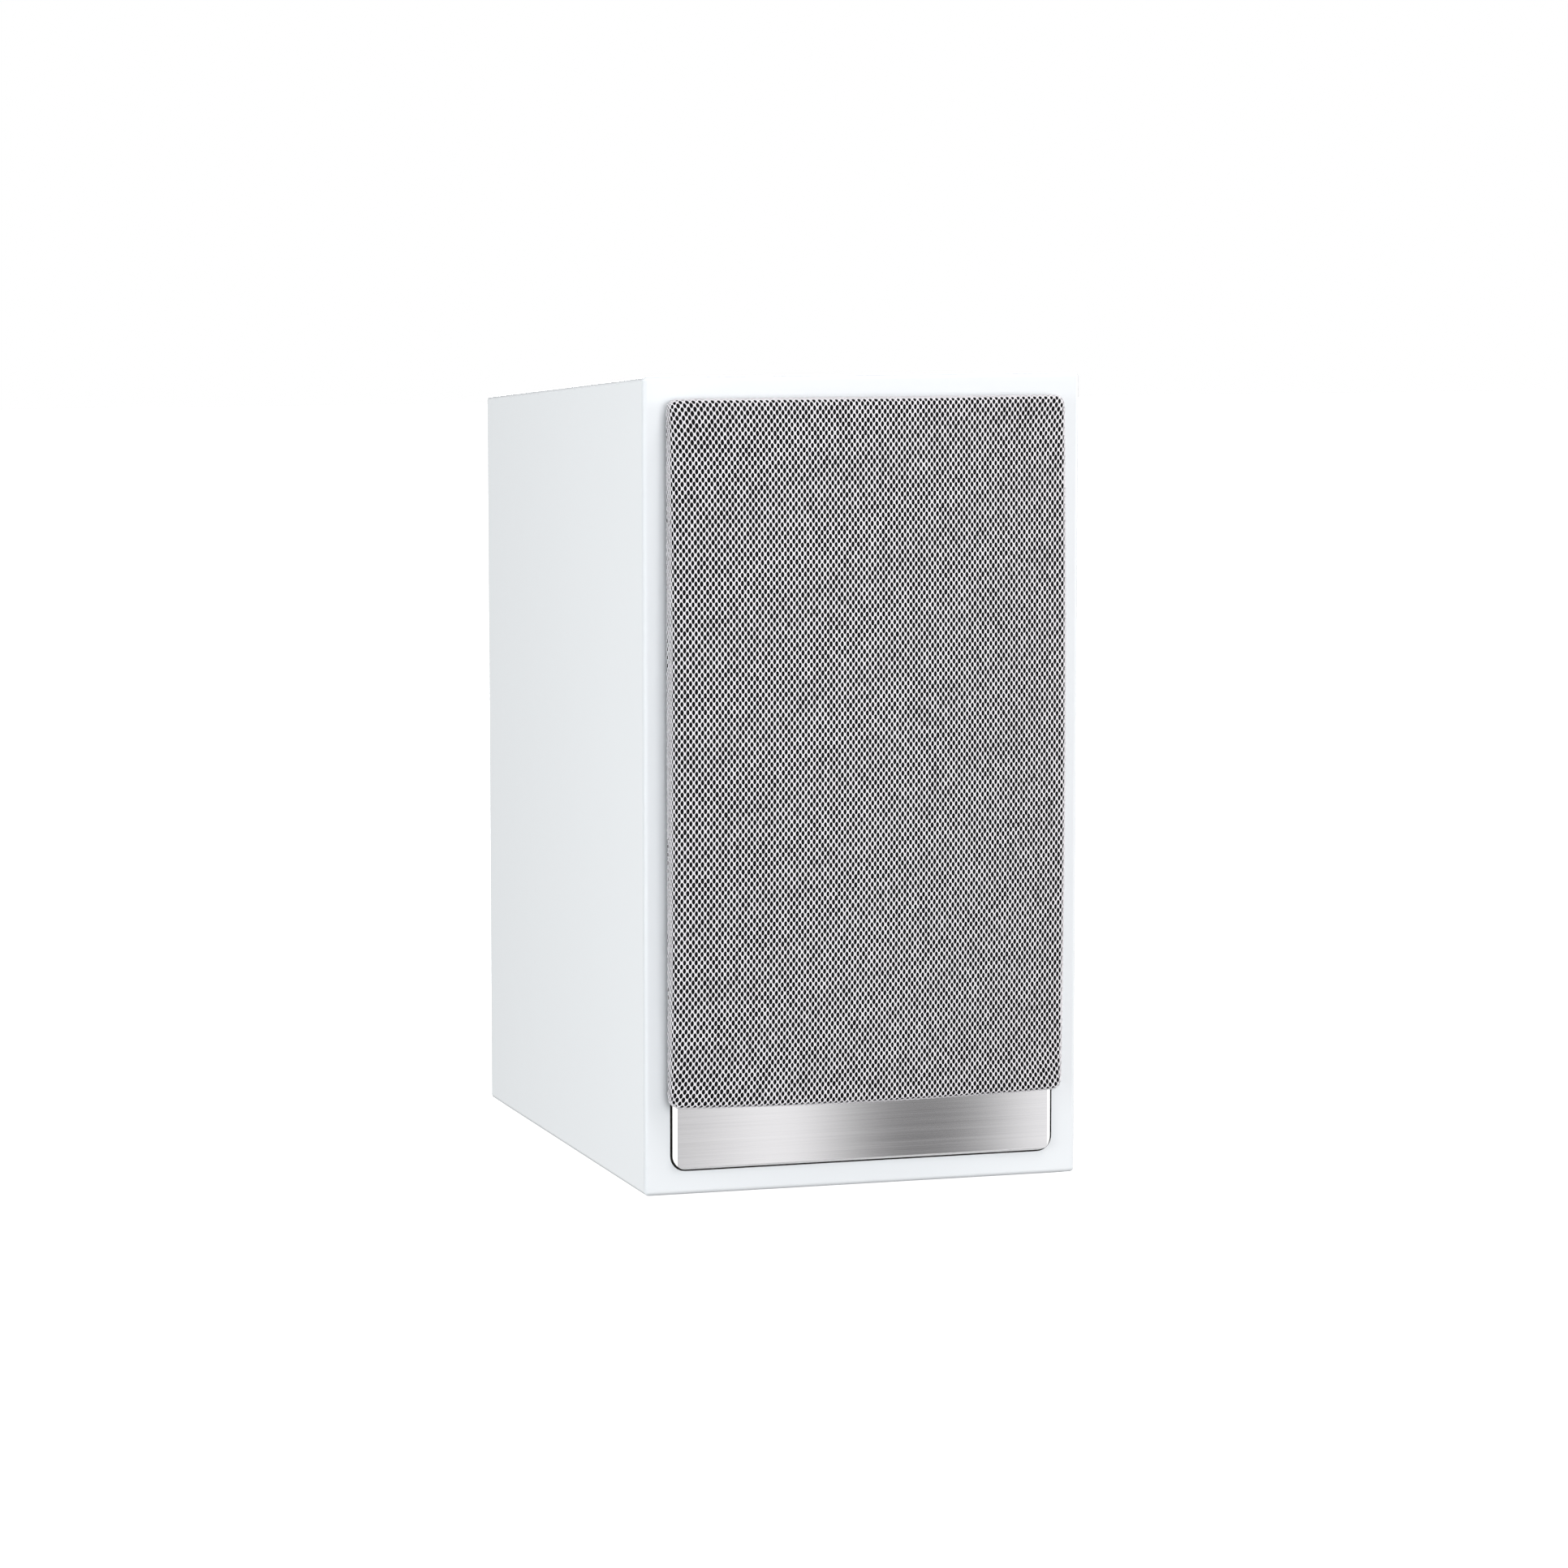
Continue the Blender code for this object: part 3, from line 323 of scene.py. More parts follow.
def brushed(name):
    """Aluminium brushed from side to side."""
    made = Finish(name, (0.80, 0.79, 0.795), 0.11, 1.0, Anisotropic=0.95, Anisotropic_Rotation=0.25)
    fine = made.noise(0.14 * MM, (0.004, 1, 1), 2.0, 0.7)
    coarse = made.noise(0.9 * MM, (0.006, 1, 1), 3.0, 0.6)
    streaks = made.product(fine, coarse, "ADD")
    made.paint(made.spread(streaks, 0, 1, 0.7, 1.3), (0.77, 0.76, 0.775), (0.86, 0.85, 0.865))
    made.polish(streaks, 0.095, 0.125, 0.7, 1.3)
    made.relief(coarse, 0.0002 * MM)
    return made.material


def polished_edge():
    """The bright cut edge of the brushed plate."""
    made = Finish("polished_edge", (0.90, 0.895, 0.89), 0.16, 1.0)
    made.mottle(3 * MM, 0.03, (1, 1, 0.1))
    made.relief(made.noise(0.2 * MM, (1, 1, 0.02)), 0.001 * MM)
    return made.material


def net_thread():
    """Pale grey polyester thread, with its filaments running up the knit."""
    made = Finish("grille_net", (0.83, 0.815, 0.85), 0.75, Sheen_Weight=0.1, Sheen_Roughness=0.5)
    filaments = made.waves(0.16 * MM, (1, 1, 0.22), wander=1.6)
    tone = made.noise(1.3 * MM, detail=4.0)
    made.paint(made.spread(made.product(filaments, tone, "ADD"), 0, 1, 0.4, 1.3),
               (0.75, 0.735, 0.77), (0.905, 0.89, 0.92))
    made.polish(tone, 0.62, 0.85)
    made.relief(filaments, 0.02 * MM)
    return made.material


def shade_lining():
    """Painted shade: a matt black open fabric behind the net, a dark sheet that stands in for the shade
    inside the grille.
    """
    made = Finish("grille_shade_lining", (0.009, 0.009, 0.010), 0.95, Specular_IOR_Level=0.15)
    weave = made.product(made.waves(0.3 * MM), made.waves(0.3 * MM, direction="Z"))
    made.paint(weave, (0.005, 0.005, 0.006), (0.014, 0.014, 0.015))
    made.polish(made.noise(2 * MM), 0.9, 1.0)
    made.relief(weave, 0.04 * MM)
    return made.material


def gap_shade_paint():
    """Painted shade: dark paint on the outer rim of the front plate and on the walls and floor of its
    recess, standing in for the shade in the gap round the plate.
    """
    made = Finish("gap_shade_paint", (0.035, 0.031, 0.029), 0.6)
    made.mottle(2 * MM, 0.2)
    made.polish(made.noise(1 * MM), 0.5, 0.7)
    made.relief(made.noise(0.3 * MM), 0.01 * MM)
    return made.material


def plastic(name, colour, roughness, grain=0.35, depth=0.012, **sockets):
    """Moulded plastic with a fine etched grain."""
    made = Finish(name, colour, roughness, **sockets)
    made.mottle(12 * MM, 0.12)
    made.polish(made.noise(5 * MM), roughness * 0.88, roughness * 1.12)
    made.relief(made.cells(grain * MM, "SMOOTH_F1"), depth * MM)
    return made.material


def rubber(name, colour=(0.018, 0.018, 0.019), roughness=0.6):
    """Moulded rubber with a faint bloom."""
    made = Finish(name, colour, roughness, Sheen_Weight=0.08, Sheen_Roughness=0.4)
    bloom = made.noise(7 * MM, detail=5.0)
    made.paint(made.spread(bloom, 0, 1, 0.35, 0.75), colour, tuple(c * 1.7 for c in colour))
    made.polish(bloom, roughness * 0.85, roughness * 1.15)
    made.relief(made.noise(0.4 * MM), 0.01 * MM)
    return made.material


def metal(name, colour, roughness, size=4.0, depth=0.004, grain=(1, 1, 1)):
    """Plated or machined metal, with fine wear in its polish."""
    made = Finish(name, colour, roughness, 1.0)
    worn = made.noise(size * MM, grain, 5.0, 0.6)
    made.paint(made.spread(worn, 0, 1, 0.3, 0.7), tuple(c * 0.9 for c in colour), colour)
    made.polish(worn, roughness * 0.8, roughness * 1.25)
    made.relief(made.noise(0.5 * MM, grain), depth * MM)
    return made.material


def anodised_cone():
    """Black anodised aluminium with the fine rings of its spinning."""
    made = Finish("anodised_cone", (0.035, 0.036, 0.04), 0.34, 1.0, Coat_Weight=0.15,
                  Coat_Roughness=0.3)
    rings = made.node("TexWave", wave_type="RINGS", rings_direction="Y")
    made.feed(rings.inputs["Vector"], made.place(offset=(0, 0, -WOOFER_Z)))
    rings.inputs["Scale"].default_value = WAVE_SCALE / (0.9 * MM)
    rings.inputs["Distortion"].default_value = 0.3
    made.polish(rings.outputs["Fac"], 0.28, 0.4, 0, 1)
    made.relief(rings.outputs["Fac"], 0.01 * MM)
    made.mottle(20 * MM, 0.15)
    return made.material


def cast_metal():
    """Black powder coat over a die casting."""
    made = Finish("powder_coat", (0.022, 0.022, 0.024), 0.5)
    made.mottle(9 * MM, 0.2)
    made.polish(made.noise(3 * MM), 0.44, 0.58)
    made.relief(made.noise(0.6 * MM, detail=4.0), 0.03 * MM)
    return made.material


def ferrite():
    """Dull, slightly pitted ceramic magnet."""
    made = Finish("ferrite", (0.05, 0.05, 0.056), 0.72)
    made.mottle(2 * MM, 0.35)
    made.relief(made.noise(0.8 * MM, detail=6.0, rough=0.7), 0.05 * MM)
    return made.material


def windings(name, colour, pitch=0.9):
    """Enamelled copper wire wound in layers."""
    made = Finish(name, colour, 0.28, 1.0, Coat_Weight=0.6, Coat_Roughness=0.2)
    turns = made.waves(pitch * MM, direction="Z")
    made.paint(turns, tuple(c * 0.45 for c in colour), colour)
    made.polish(made.noise(2 * MM), 0.22, 0.36)
    made.relief(turns, 0.2 * MM)
    return made.material


def woven(name, dark, light, pitch, depth):
    """Open plain weave, stiffened with resin."""
    made = Finish(name, light, 0.85, Sheen_Weight=0.2, Sheen_Roughness=0.5)
    across = made.waves(pitch * MM, direction="X")
    up = made.waves(pitch * MM, direction="Z")
    weave = made.product(across, up)
    made.paint(weave, dark, light)
    made.polish(made.noise(4 * MM), 0.75, 0.95)
    made.relief(weave, depth * MM)
    return made.material


def foil():
    """Polyimide film with bright conductor traces along each fold."""
    made = Finish("diaphragm_foil", (0.70, 0.45, 0.16), 0.3, 0.9)
    traces = made.waves(2.6 * MM, direction="Y")
    made.paint(made.spread(traces, 0, 1, 0.45, 0.55), (0.62, 0.36, 0.10), (0.86, 0.85, 0.82))
    made.polish(made.noise(3 * MM), 0.24, 0.38)
    made.relief(traces, 0.02 * MM)
    return made.material


def matted(name, colours, noise, share, polish, depth, **sockets):
    """A dull material whose noise sets its colour, its roughness and its relief."""
    dark, middle, light = colours
    made = Finish(name, middle, polish[0], **sockets)
    lumps = made.noise(**noise)
    made.paint(made.spread(lumps, 0, 1, *share), dark, light)
    made.polish(lumps, *polish)
    made.relief(lumps, depth)
    return made.material


def fibreboard():
    """Raw medium-density fibreboard."""
    colours = ((0.33, 0.22, 0.13), (0.45, 0.31, 0.19), (0.56, 0.41, 0.27))
    fibres = {"size": 1.1 * MM, "stretch": (1, 1, 1.8), "detail": 8.0, "rough": 0.75}
    return matted("fibreboard", colours, fibres, (0.35, 0.7), (0.8, 0.95), 0.08 * MM)


def wadding():
    """Matted polyester fibre."""
    colours = ((0.66, 0.66, 0.63), (0.84, 0.84, 0.81), (0.93, 0.93, 0.91))
    tufts = {"size": 4 * MM, "detail": 10.0, "rough": 0.75}
    return matted("wadding", colours, tufts, (0.3, 0.7), (0.88, 1.0), 1.2 * MM,
                  Sheen_Weight=0.4, Sheen_Roughness=0.6)


def ceramic():
    """Gritty cement of a power resistor."""
    colours = ((0.70, 0.69, 0.65), (0.82, 0.81, 0.77), (0.90, 0.89, 0.85))
    grit = {"size": 0.7 * MM, "detail": 6.0, "rough": 0.7}
    return matted("resistor_ceramic", colours, grit, (0.3, 0.7), (0.7, 0.9), 0.06 * MM)


def circuit_board():
    """Green solder mask over copper tracks, with tinned pads."""
    made = Finish("circuit_board", (0.02, 0.16, 0.08), 0.4)
    tracks = made.spread(made.cells(7 * MM, "DISTANCE_TO_EDGE"), 1, 0, 0.02, 0.06)
    pads = made.spread(made.cells(9 * MM), 1, 0, 0.12, 0.16)
    board = made.blend(tracks, (0.015, 0.11, 0.055), (0.05, 0.27, 0.13))
    made.feed(made.shader.inputs["Base Color"], made.blend(pads, board, (0.75, 0.74, 0.7)))
    made.polish(pads, 0.45, 0.25, 0, 1)
    made.relief(tracks, 0.05 * MM)
    return made.material


def wrapped_film():
    """Glossy yellow tape round a film capacitor."""
    made = Finish("capacitor_film", (0.74, 0.58, 0.10), 0.35, Coat_Weight=0.4, Coat_Roughness=0.1)
    layers = made.waves(6 * MM, direction="Y", wander=2.0)
    made.paint(layers, (0.64, 0.48, 0.07), (0.80, 0.66, 0.16))
    made.polish(made.noise(5 * MM), 0.28, 0.42)
    made.relief(layers, 0.06 * MM)
    return made.material


FINISHES = {
    "cabinet_lacquer": lacquer("cabinet_lacquer"),
    "rear_lacquer": lacquer("rear_lacquer"),
    "fibreboard": fibreboard(),
    "wadding": wadding(),
    "brushed_aluminium": brushed("brushed_aluminium"),
    "rubber": rubber("foot_rubber"),
    "screw_steel": metal("black_zinc", (0.10, 0.10, 0.105), 0.38, 3.0),
    "gold_plate": metal("gold_plate", (0.83, 0.62, 0.27), 0.2),
    "knob_plastic": plastic("knob_plastic", (0.02, 0.02, 0.021), 0.42, 0.25, 0.008),
    "cast_alloy": cast_metal(),
    "surround_rubber": rubber("surround_rubber", (0.015, 0.015, 0.016), 0.5),
    "cone_metal": anodised_cone(),
    "copper_wire": windings("copper_wire", (0.78, 0.38, 0.19)),
    "spider_cloth": woven("spider_cloth", (0.42, 0.28, 0.09), (0.72, 0.53, 0.24), 0.8, 0.15),
    "motor_steel": metal("zinc_plated_steel", (0.62, 0.62, 0.58), 0.32, 6.0, 0.006),
    "ferrite": ferrite(),
    "driver_plastic": plastic("driver_plastic", (0.02, 0.02, 0.022), 0.46),
    "black_plastic": plastic("black_plastic", (0.024, 0.024, 0.025), 0.55, 0.5, 0.02),
    "diaphragm_foil": foil(),
    "circuit_board": circuit_board(),
    "capacitor_film": wrapped_film(),
    "resistor_ceramic": ceramic(),
    "lead_jacket": plastic("lead_jacket", (0.42, 0.03, 0.025), 0.45, 0.8, 0.01),
    "grille_cloth": net_thread(),
    # painted shade: a black lining for the inside of the grille
    "grille_shade_lining": shade_lining(),
    # painted shade for the gap round the front plate
    "gap_shade_paint": gap_shade_paint(),
}

REPAINTED = {"tweeter_pole_grid": "screw_steel"}     # nodes that show another slot's finish


# ------------------------------------------------------------------ mesh tools
def mesh_of(name, bm):
    """Turn a bmesh into a mesh with its faces outwards."""
    bmesh.ops.recalc_face_normals(bm, faces=bm.faces)
    mesh = bpy.data.meshes.new(name)
    bm.to_mesh(mesh)
    bm.free()
    return mesh


def placed(name, data):
    """A new object in the scene."""
    obj = bpy.data.objects.new(name, data)
    bpy.context.scene.collection.objects.link(obj)
    return obj


def piece(name, bm, slot, body="cabinet", stands_for=(), sharp=32):
    """Turn a bmesh into a piece that rides on a body and stands for CAD nodes."""
    return finished(name, mesh_of(name, bm), slot, body, stands_for, sharp)


def finished(name, mesh, slot, body="cabinet", stands_for=(), sharp=32):
    """A mesh as a piece, smooth apart from its sharp corners."""
    mesh.shade_smooth()
    mesh.set_sharp_from_angle(angle=math.radians(sharp))
    obj = placed(name, mesh)
    obj.data.materials.append(FINISHES[slot])
    if stands_for:
        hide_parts(*stands_for)
    if body:
        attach(obj, body)
    return obj


def tool(bm):
    """A cutter for a Boolean, which is removed once it has been used."""
    return placed("cutter", mesh_of("cutter", bm))


def bake(obj):
    """Turn an object's modifiers into its mesh."""
    graph = bpy.context.evaluated_depsgraph_get()
    mesh = bpy.data.meshes.new_from_object(obj.evaluated_get(graph))
    obj.modifiers.clear()
    obj.data = mesh
    return obj


def cut(obj, cutters):
    """Cut away the cutters' shapes for good."""
    for cutter in cutters:
        step = obj.modifiers.new("cut", "BOOLEAN")
        step.operation = "DIFFERENCE"
        step.object = cutter
    bake(obj)
    for cutter in cutters:
        bpy.data.objects.remove(cutter, do_unlink=True)
    return obj


def soften(obj, width, segments=3, angle=30):
    """Round the hard edges of a piece a little, and even out its shading."""
    rounding = obj.modifiers.new("soft_edges", "BEVEL")
    rounding.width = width
    rounding.segments = segments
    rounding.limit_method = "ANGLE"
    rounding.angle_limit = math.radians(angle)
    rounding.harden_normals = True
    return obj


def turned(profile, steps, centre=(0, 0), along="Y"):
    """A bmesh spun from (radius, distance) points about an axis through a centre."""
    bm = bmesh.new()
    verts = [bm.verts.new((r, d, 0) if along == "Y" else (r, 0, d)) for r, d in profile]
    edges = [bm.edges.new(pair) for pair in zip(verts, verts[1:])]
    if all(r > 0 for r, _ in profile):
        edges.append(bm.edges.new((verts[-1], verts[0])))
    axis = (0, 1, 0) if along == "Y" else (0, 0, 1)
    bmesh.ops.spin(bm, geom=verts + edges, cent=(0, 0, 0), axis=axis, angle=2 * math.pi,
                   steps=steps, use_merge=True)
    bmesh.ops.remove_doubles(bm, verts=bm.verts, dist=1e-7)
    move = (centre[0], 0, centre[1]) if along == "Y" else (centre[0], centre[1], 0)
    bmesh.ops.translate(bm, verts=bm.verts, vec=move)
    return bm


def arc(centre, radius, start, end, steps):
    """Points of (radius, distance) on an arc, with its angles in degrees."""
    return [(centre[0] + radius * math.cos(math.radians(start + (end - start) * k / steps)),
             centre[1] + radius * math.sin(math.radians(start + (end - start) * k / steps)))
            for k in range(steps + 1)]


def corners_of(half_width, half_height, middle=0):
    """The four corners of a rectangle in X and Z, anticlockwise from the upper right."""
    return [(side * half_width, middle + end * half_height)
            for side, end in ((1, 1), (-1, 1), (-1, -1), (1, -1))]


def round_box(half_width, low, high, corner, steps=8):
    """Outline in X and Z of a rectangle with round corners, anticlockwise."""
    middle = (low + high) / 2
    outline = []
    for side, end, start in ((1, 1, 0), (-1, 1, 90), (-1, -1, 180), (1, -1, 270)):
        centre = (side * (half_width - corner), middle + end * ((high - low) / 2 - corner))
        outline += arc(centre, corner, start, start + 90, steps)
    return outline


def loft(loops, caps=(True, True)):
    """Join closed loops of equally many points, one after another, and cap the two ends."""
    bm = bmesh.new()
    rings = [[bm.verts.new(p) for p in loop] for loop in loops]
    for near, far in zip(rings, rings[1:]):
        for k in range(len(near)):
            after = (k + 1) % len(near)
            bm.faces.new((near[k], near[after], far[after], far[k]))
    for ring, capped in zip((rings[0], rings[-1]), caps):
        if capped:
            bm.faces.new(ring)
    return bm


def levels(outline, depths):
    """The same outline in X and Z at several depths along Y."""
    return [[(x, y, z) for x, z in outline] for y in depths]


def prism(outline, front, back):
    """A flat-ended body with an outline in X and Z."""
    return loft(levels(outline, (front, back)))


def box(low, high):
    """A bmesh box between two corners."""
    low, high = Vector(low), Vector(high)
    bm = bmesh.new()
    size = Matrix.Diagonal((*(high - low), 1))
    bmesh.ops.create_cube(bm, size=1, matrix=Matrix.Translation((low + high) / 2) @ size)
    return bm


def drill(radius, front, back, x, z, steps=32):
    """A round cutter along Y."""
    return tool(turned([(0, front), (radius, front), (radius, back), (0, back)], steps, (x, z)))


# ------------------------------------------------------------------ cabinet
def top_z(y):
    """Height of the sloping top at a depth."""
    return TOP_Z - TOP_FALL * (y - FRONT_Y) / (REAR_Y - FRONT_Y)


def sloped_body(half_width, low, front, back, drop):
    """A body whose top runs parallel to the cabinet's sloping top."""
    ring = ((front, low), (back, low), (back, top_z(back) - drop), (front, top_z(front) - drop))
    return loft([[(x, y, z) for y, z in ring] for x in (-half_width, half_width)])


def cabinet():
    """Four walls and the baffle under one coat of lacquer, with 2 mm edges."""
    shell = piece("cabinet_body", sloped_body(HALF_WIDTH, BASE_Z, FRONT_Y, REAR_Y, 0),
                  "cabinet_lacquer", stands_for=["cabinet_shell"])
    rounding = shell.modifiers.new("edges", "BEVEL")
    rounding.width = EDGE_RADIUS
    rounding.segments = 6
    cavity = sloped_body(HALF_WIDTH - WALL, BASE_Z + WALL, FRONT_Y + BAFFLE, REAR_Y + WALL, WALL)
    margin = RECESS_MARGIN
    recess = round_box(plate_high.x + margin, plate_low.z - margin, plate_high.z + margin,
                       PLATE_CORNER + margin)
    tweeter = round_box(TWEETER_HOLE_HALF_WIDTH, TWEETER_Z - TWEETER_HOLE_HALF_HEIGHT,
                        TWEETER_Z + TWEETER_HOLE_HALF_HEIGHT, 3 * MM)
    front = FRONT_Y - WALL
    cut(shell, [tool(cavity), tool(prism(recess, front, FRONT_Y + RECESS_DEPTH)),
                drill(WOOFER_HOLE, front, FRONT_Y + 2 * BAFFLE, 0, WOOFER_Z, 96),
                tool(prism(tweeter, front, FRONT_Y + 2 * BAFFLE))])
    # the recess takes painted shade, dark like the gap round the plate
    paint_recess_shade(shell)
    shell.data.set_sharp_from_angle(angle=math.radians(40))
    shell.modifiers.new("even_shading", "WEIGHTED_NORMAL").keep_sharp = True


def paint_recess_shade(shell):
    """Painted shade: dark paint on the walls and floor of the recess, so the shade in the gap round the
    plate shows as a thin dark line.
    """
    shell.data.materials.append(FINISHES["gap_shade_paint"])
    reach = plate_high.x + RECESS_MARGIN + GAP
    for face in shell.data.polygons:
        depth = face.center.y - FRONT_Y
        in_depth = 0.01 * MM < depth < RECESS_DEPTH + 0.01 * MM
        in_height = plate_low.z - MM < face.center.z < plate_high.z + MM
        if in_depth and in_height and abs(face.center.x) < reach:
            face.material_index = 1


def feet():
    """Four rubber pads with a soft rim and a shallow dish underneath."""
    dish = 0.4 * MM
    rim = 0.7 * MM
    for end in ("front", "rear"):
        for side in ("left", "right"):
            node = f"foot_{end}_{side}"
            low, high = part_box(node)
            radius = (high.x - low.x) / 2
            profile = [(0, low.z + dish), (radius * 0.55, low.z + dish), (radius * 0.66, low.z)]
            profile += arc((radius - rim, low.z + rim), rim, -90, 0, 6)
            profile += [(radius, high.z), (0, high.z)]
            centre = ((low.x + high.x) / 2, (low.y + high.y) / 2)
            piece(node + "_pad", turned(profile, 48, centre, "Z"), "rubber", stands_for=[node])


# ------------------------------------------------------------------ front plate
def shave(bm, point, normal):
    """Cut away what lies beyond a plane, and close the cut."""
    geometry = bm.verts[:] + bm.edges[:] + bm.faces[:]
    bmesh.ops.bisect_plane(bm, geom=geometry, plane_co=point, plane_no=normal, clear_outer=True)
    bmesh.ops.holes_fill(bm, edges=[e for e in bm.edges if e.is_boundary])


def plate_finish(face):
    """Which finish a face of the plate has: brushed front, bright bevels, and dark walls painted as the
    shade in the gap round it.
    """
    turned_back = abs(face.normal.y)
    if turned_back > 0.99:
        return 0
    return 1 if turned_back > 0.1 else 2


def front_plate():
    """Brushed plate with bright bevels down its sides and fine ones at its ends."""
    bm = prism(round_box(plate_high.x, plate_low.z, plate_high.z, PLATE_CORNER, 12),
               plate_low.y, plate_high.y)
    for side in (-1, 1):
        crease = (side * (plate_high.x - SIDE_BEVEL), plate_low.y, 0)
        shave(bm, crease, (side * SIDE_BEVEL_DEPTH, -SIDE_BEVEL, 0))
    for z, end in ((plate_low.z, -1), (plate_high.z, 1)):
        shave(bm, (0, plate_low.y, z - end * END_BEVEL), (0, -1, end))
    plate = piece("front_plate_brushed", bm, "brushed_aluminium", stands_for=["front_plate"],
                  sharp=20)
    plate.data.materials.append(polished_edge())
    # the plate's walls take painted shade, dark like the gap round the plate
    plate.data.materials.append(FINISHES["gap_shade_paint"])
    back = plate_high.y + WALL
    opening = round_box(FACE_HALF_WIDTH + GAP, TWEETER_Z - FACE_HALF_HEIGHT - GAP,
                        TWEETER_Z + FACE_HALF_HEIGHT + GAP, FACE_CORNER)
    cut(plate, [drill(FLANGE_RADIUS + GAP, plate_low.y - WALL, back, 0, WOOFER_Z, 128),
                tool(prism(opening, plate_low.y - WALL, back))])
    for face in plate.data.polygons:
        face.material_index = plate_finish(face)
    soften(plate, 0.12 * MM, 2, 20)


# ------------------------------------------------------------------ woofer
def behind(profile):
    """Profile points in millimetres, as (radius, y) behind the baffle's front."""
    return [(r * MM, FRONT_Y + d * MM) for r, d in profile]


def screw_places():
    """Name, X and Z of the screws that hold the two drivers."""
    places = []
    for k in range(4):
        angle = math.radians(45 + 90 * k)
        places.append((f"woofer_screw_{k + 1}", SCREW_CIRCLE * math.cos(angle),
                       WOOFER_Z + SCREW_CIRCLE * math.sin(angle)))
    for k, (x, z) in enumerate(corners_of(TWEETER_SCREW_X, TWEETER_SCREW_Z, TWEETER_Z)):
        places.append((f"tweeter_screw_{k + 1}", x, z))
    return places


def screw_holes(driver):
    """Counterbored holes for one driver's screws."""
    holes = []
    seat = FRONT_Y - FLANGE_PROUD + HEAD_HEIGHT + GAP
    for name, x, z in screw_places():
        if name.startswith(driver):
            holes.append(drill(HEAD_RADIUS + GAP, FRONT_Y - WALL, seat, x, z))
            holes.append(drill(SHANK_RADIUS + GAP, FRONT_Y - WALL, FRONT_Y + WALL, x, z, 20))
    return holes


def screws():
    """Pan-head screws with a hexagon socket."""
    front = FRONT_Y - FLANGE_PROUD
    head_back = front + HEAD_HEIGHT
    ease = 0.6 * MM
    threads = 9
    rim = arc((HEAD_RADIUS - ease, front + ease), ease, -90, 0, 5)
    profile = [(0, front)] + rim + [(HEAD_RADIUS, head_back), (SHANK_RADIUS, head_back)]
    for k in range(threads):
        depth = head_back + k * MM
        profile += [(SHANK_RADIUS - 0.35 * MM, depth + 0.25 * MM), (SHANK_RADIUS, depth + 0.75 * MM)]
    profile += [(SHANK_RADIUS - 0.3 * MM, FRONT_Y + SHANK_LENGTH - 2 * MM),
                (0, FRONT_Y + SHANK_LENGTH)]
    for name, x, z in screw_places():
        screw = piece(name + "_socket", turned(profile, 32, (x, z)), "screw_steel",
                      stands_for=[name])
        cut(screw, [drill(SOCKET_RADIUS, front - MM, front + MM, x, z, 6)])


def woofer_basket():
    """Cast frame: a chamfered flange, six windows, and landings for the spider and surround."""
    flange = FLANGE_RADIUS / MM
    front = -FLANGE_PROUD / MM
    ease = 0.6
    rim = arc((flange - ease, front + ease), ease, -90, 0, 5)
    profile = [(70.3, front + 0.15), (70.9, front)] + rim
    profile += [(flange, 0.7), (70.8, 0.7), (69.8, 6), (54, 42), (48.5, 46), (48.5, 61), (46, 63),
                (20.5, 63), (20.5, 60), (45.5, 60), (45.5, 42), (51.7, 42), (66.2, 6),
                (66.2, -0.3), (70, -0.3), (70, -1.5)]
    basket = piece("woofer_frame", turned(behind(profile), 120, (0, WOOFER_Z)), "cast_alloy",
                   stands_for=["woofer_basket"])
    windows = []
    low = (45 * MM, FRONT_Y + 11 * MM, -16 * MM)
    high = (79 * MM, FRONT_Y + 38 * MM, 16 * MM)
    for k in range(6):
        window = tool(box(low, high))
        turn = Matrix.Rotation(-math.radians(60 * k), 4, "Y")
        window.matrix_world = Matrix.Translation((0, 0, WOOFER_Z)) @ turn
        windows.append(window)
    cut(basket, windows + screw_holes("woofer"))
    basket.data.set_sharp_from_angle(angle=math.radians(32))


def sector(name, profile, index, count, slot, stands_for, steps=4):
    """One slice of a ring that stretches between the basket and the moving cone.

    Its ends lie where a slice's border and its neighbour's agree.
    """
    half = math.pi / count
    middle = 2 * half * index
    loops = []
    for k in range(steps + 1):
        angle = middle - half + 2 * half * k / steps
        loops.append([(r * math.cos(angle), y, WOOFER_Z + r * math.sin(angle)) for r, y in profile])
    made = piece(f"{name}_{index + 1:02d}", loft(loops, (False, False)), slot, None, stands_for)
    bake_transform(made)


def surround():
    """Half-roll rubber edge, in slices."""
    front = FRONT_Y - 1.2 * MM
    back = FRONT_Y - 0.6 * MM
    lip = [(69.7 * MM, front), (69.7 * MM, back)]
    roll = arc((ROLL_CENTRE, front), ROLL_RADIUS, -180, 0, 16)
    hollow = arc((ROLL_CENTRE, back), ROLL_RADIUS - RUBBER, 0, -180, 16)
    inner = [(53.8 * MM, back), (53.8 * MM, front)]
    for k in range(SURROUND_SLICES):
        stands_for = ["woofer_surround"] if k == 0 else ()
        sector("woofer_surround", roll + lip + hollow + inner, k, SURROUND_SLICES, "surround_rubber",
               stands_for)
    ring = [(66.6, -2.0), (67.0, -2.25), (68.2, -2.35), (69.3, -2.25), (69.7, -2.0), (69.7, -1.5),
            (66.6, -1.5)]
    piece("woofer_gasket_ring", turned(behind(ring), 120, (0, WOOFER_Z)), "surround_rubber",
          stands_for=["woofer_gasket"])


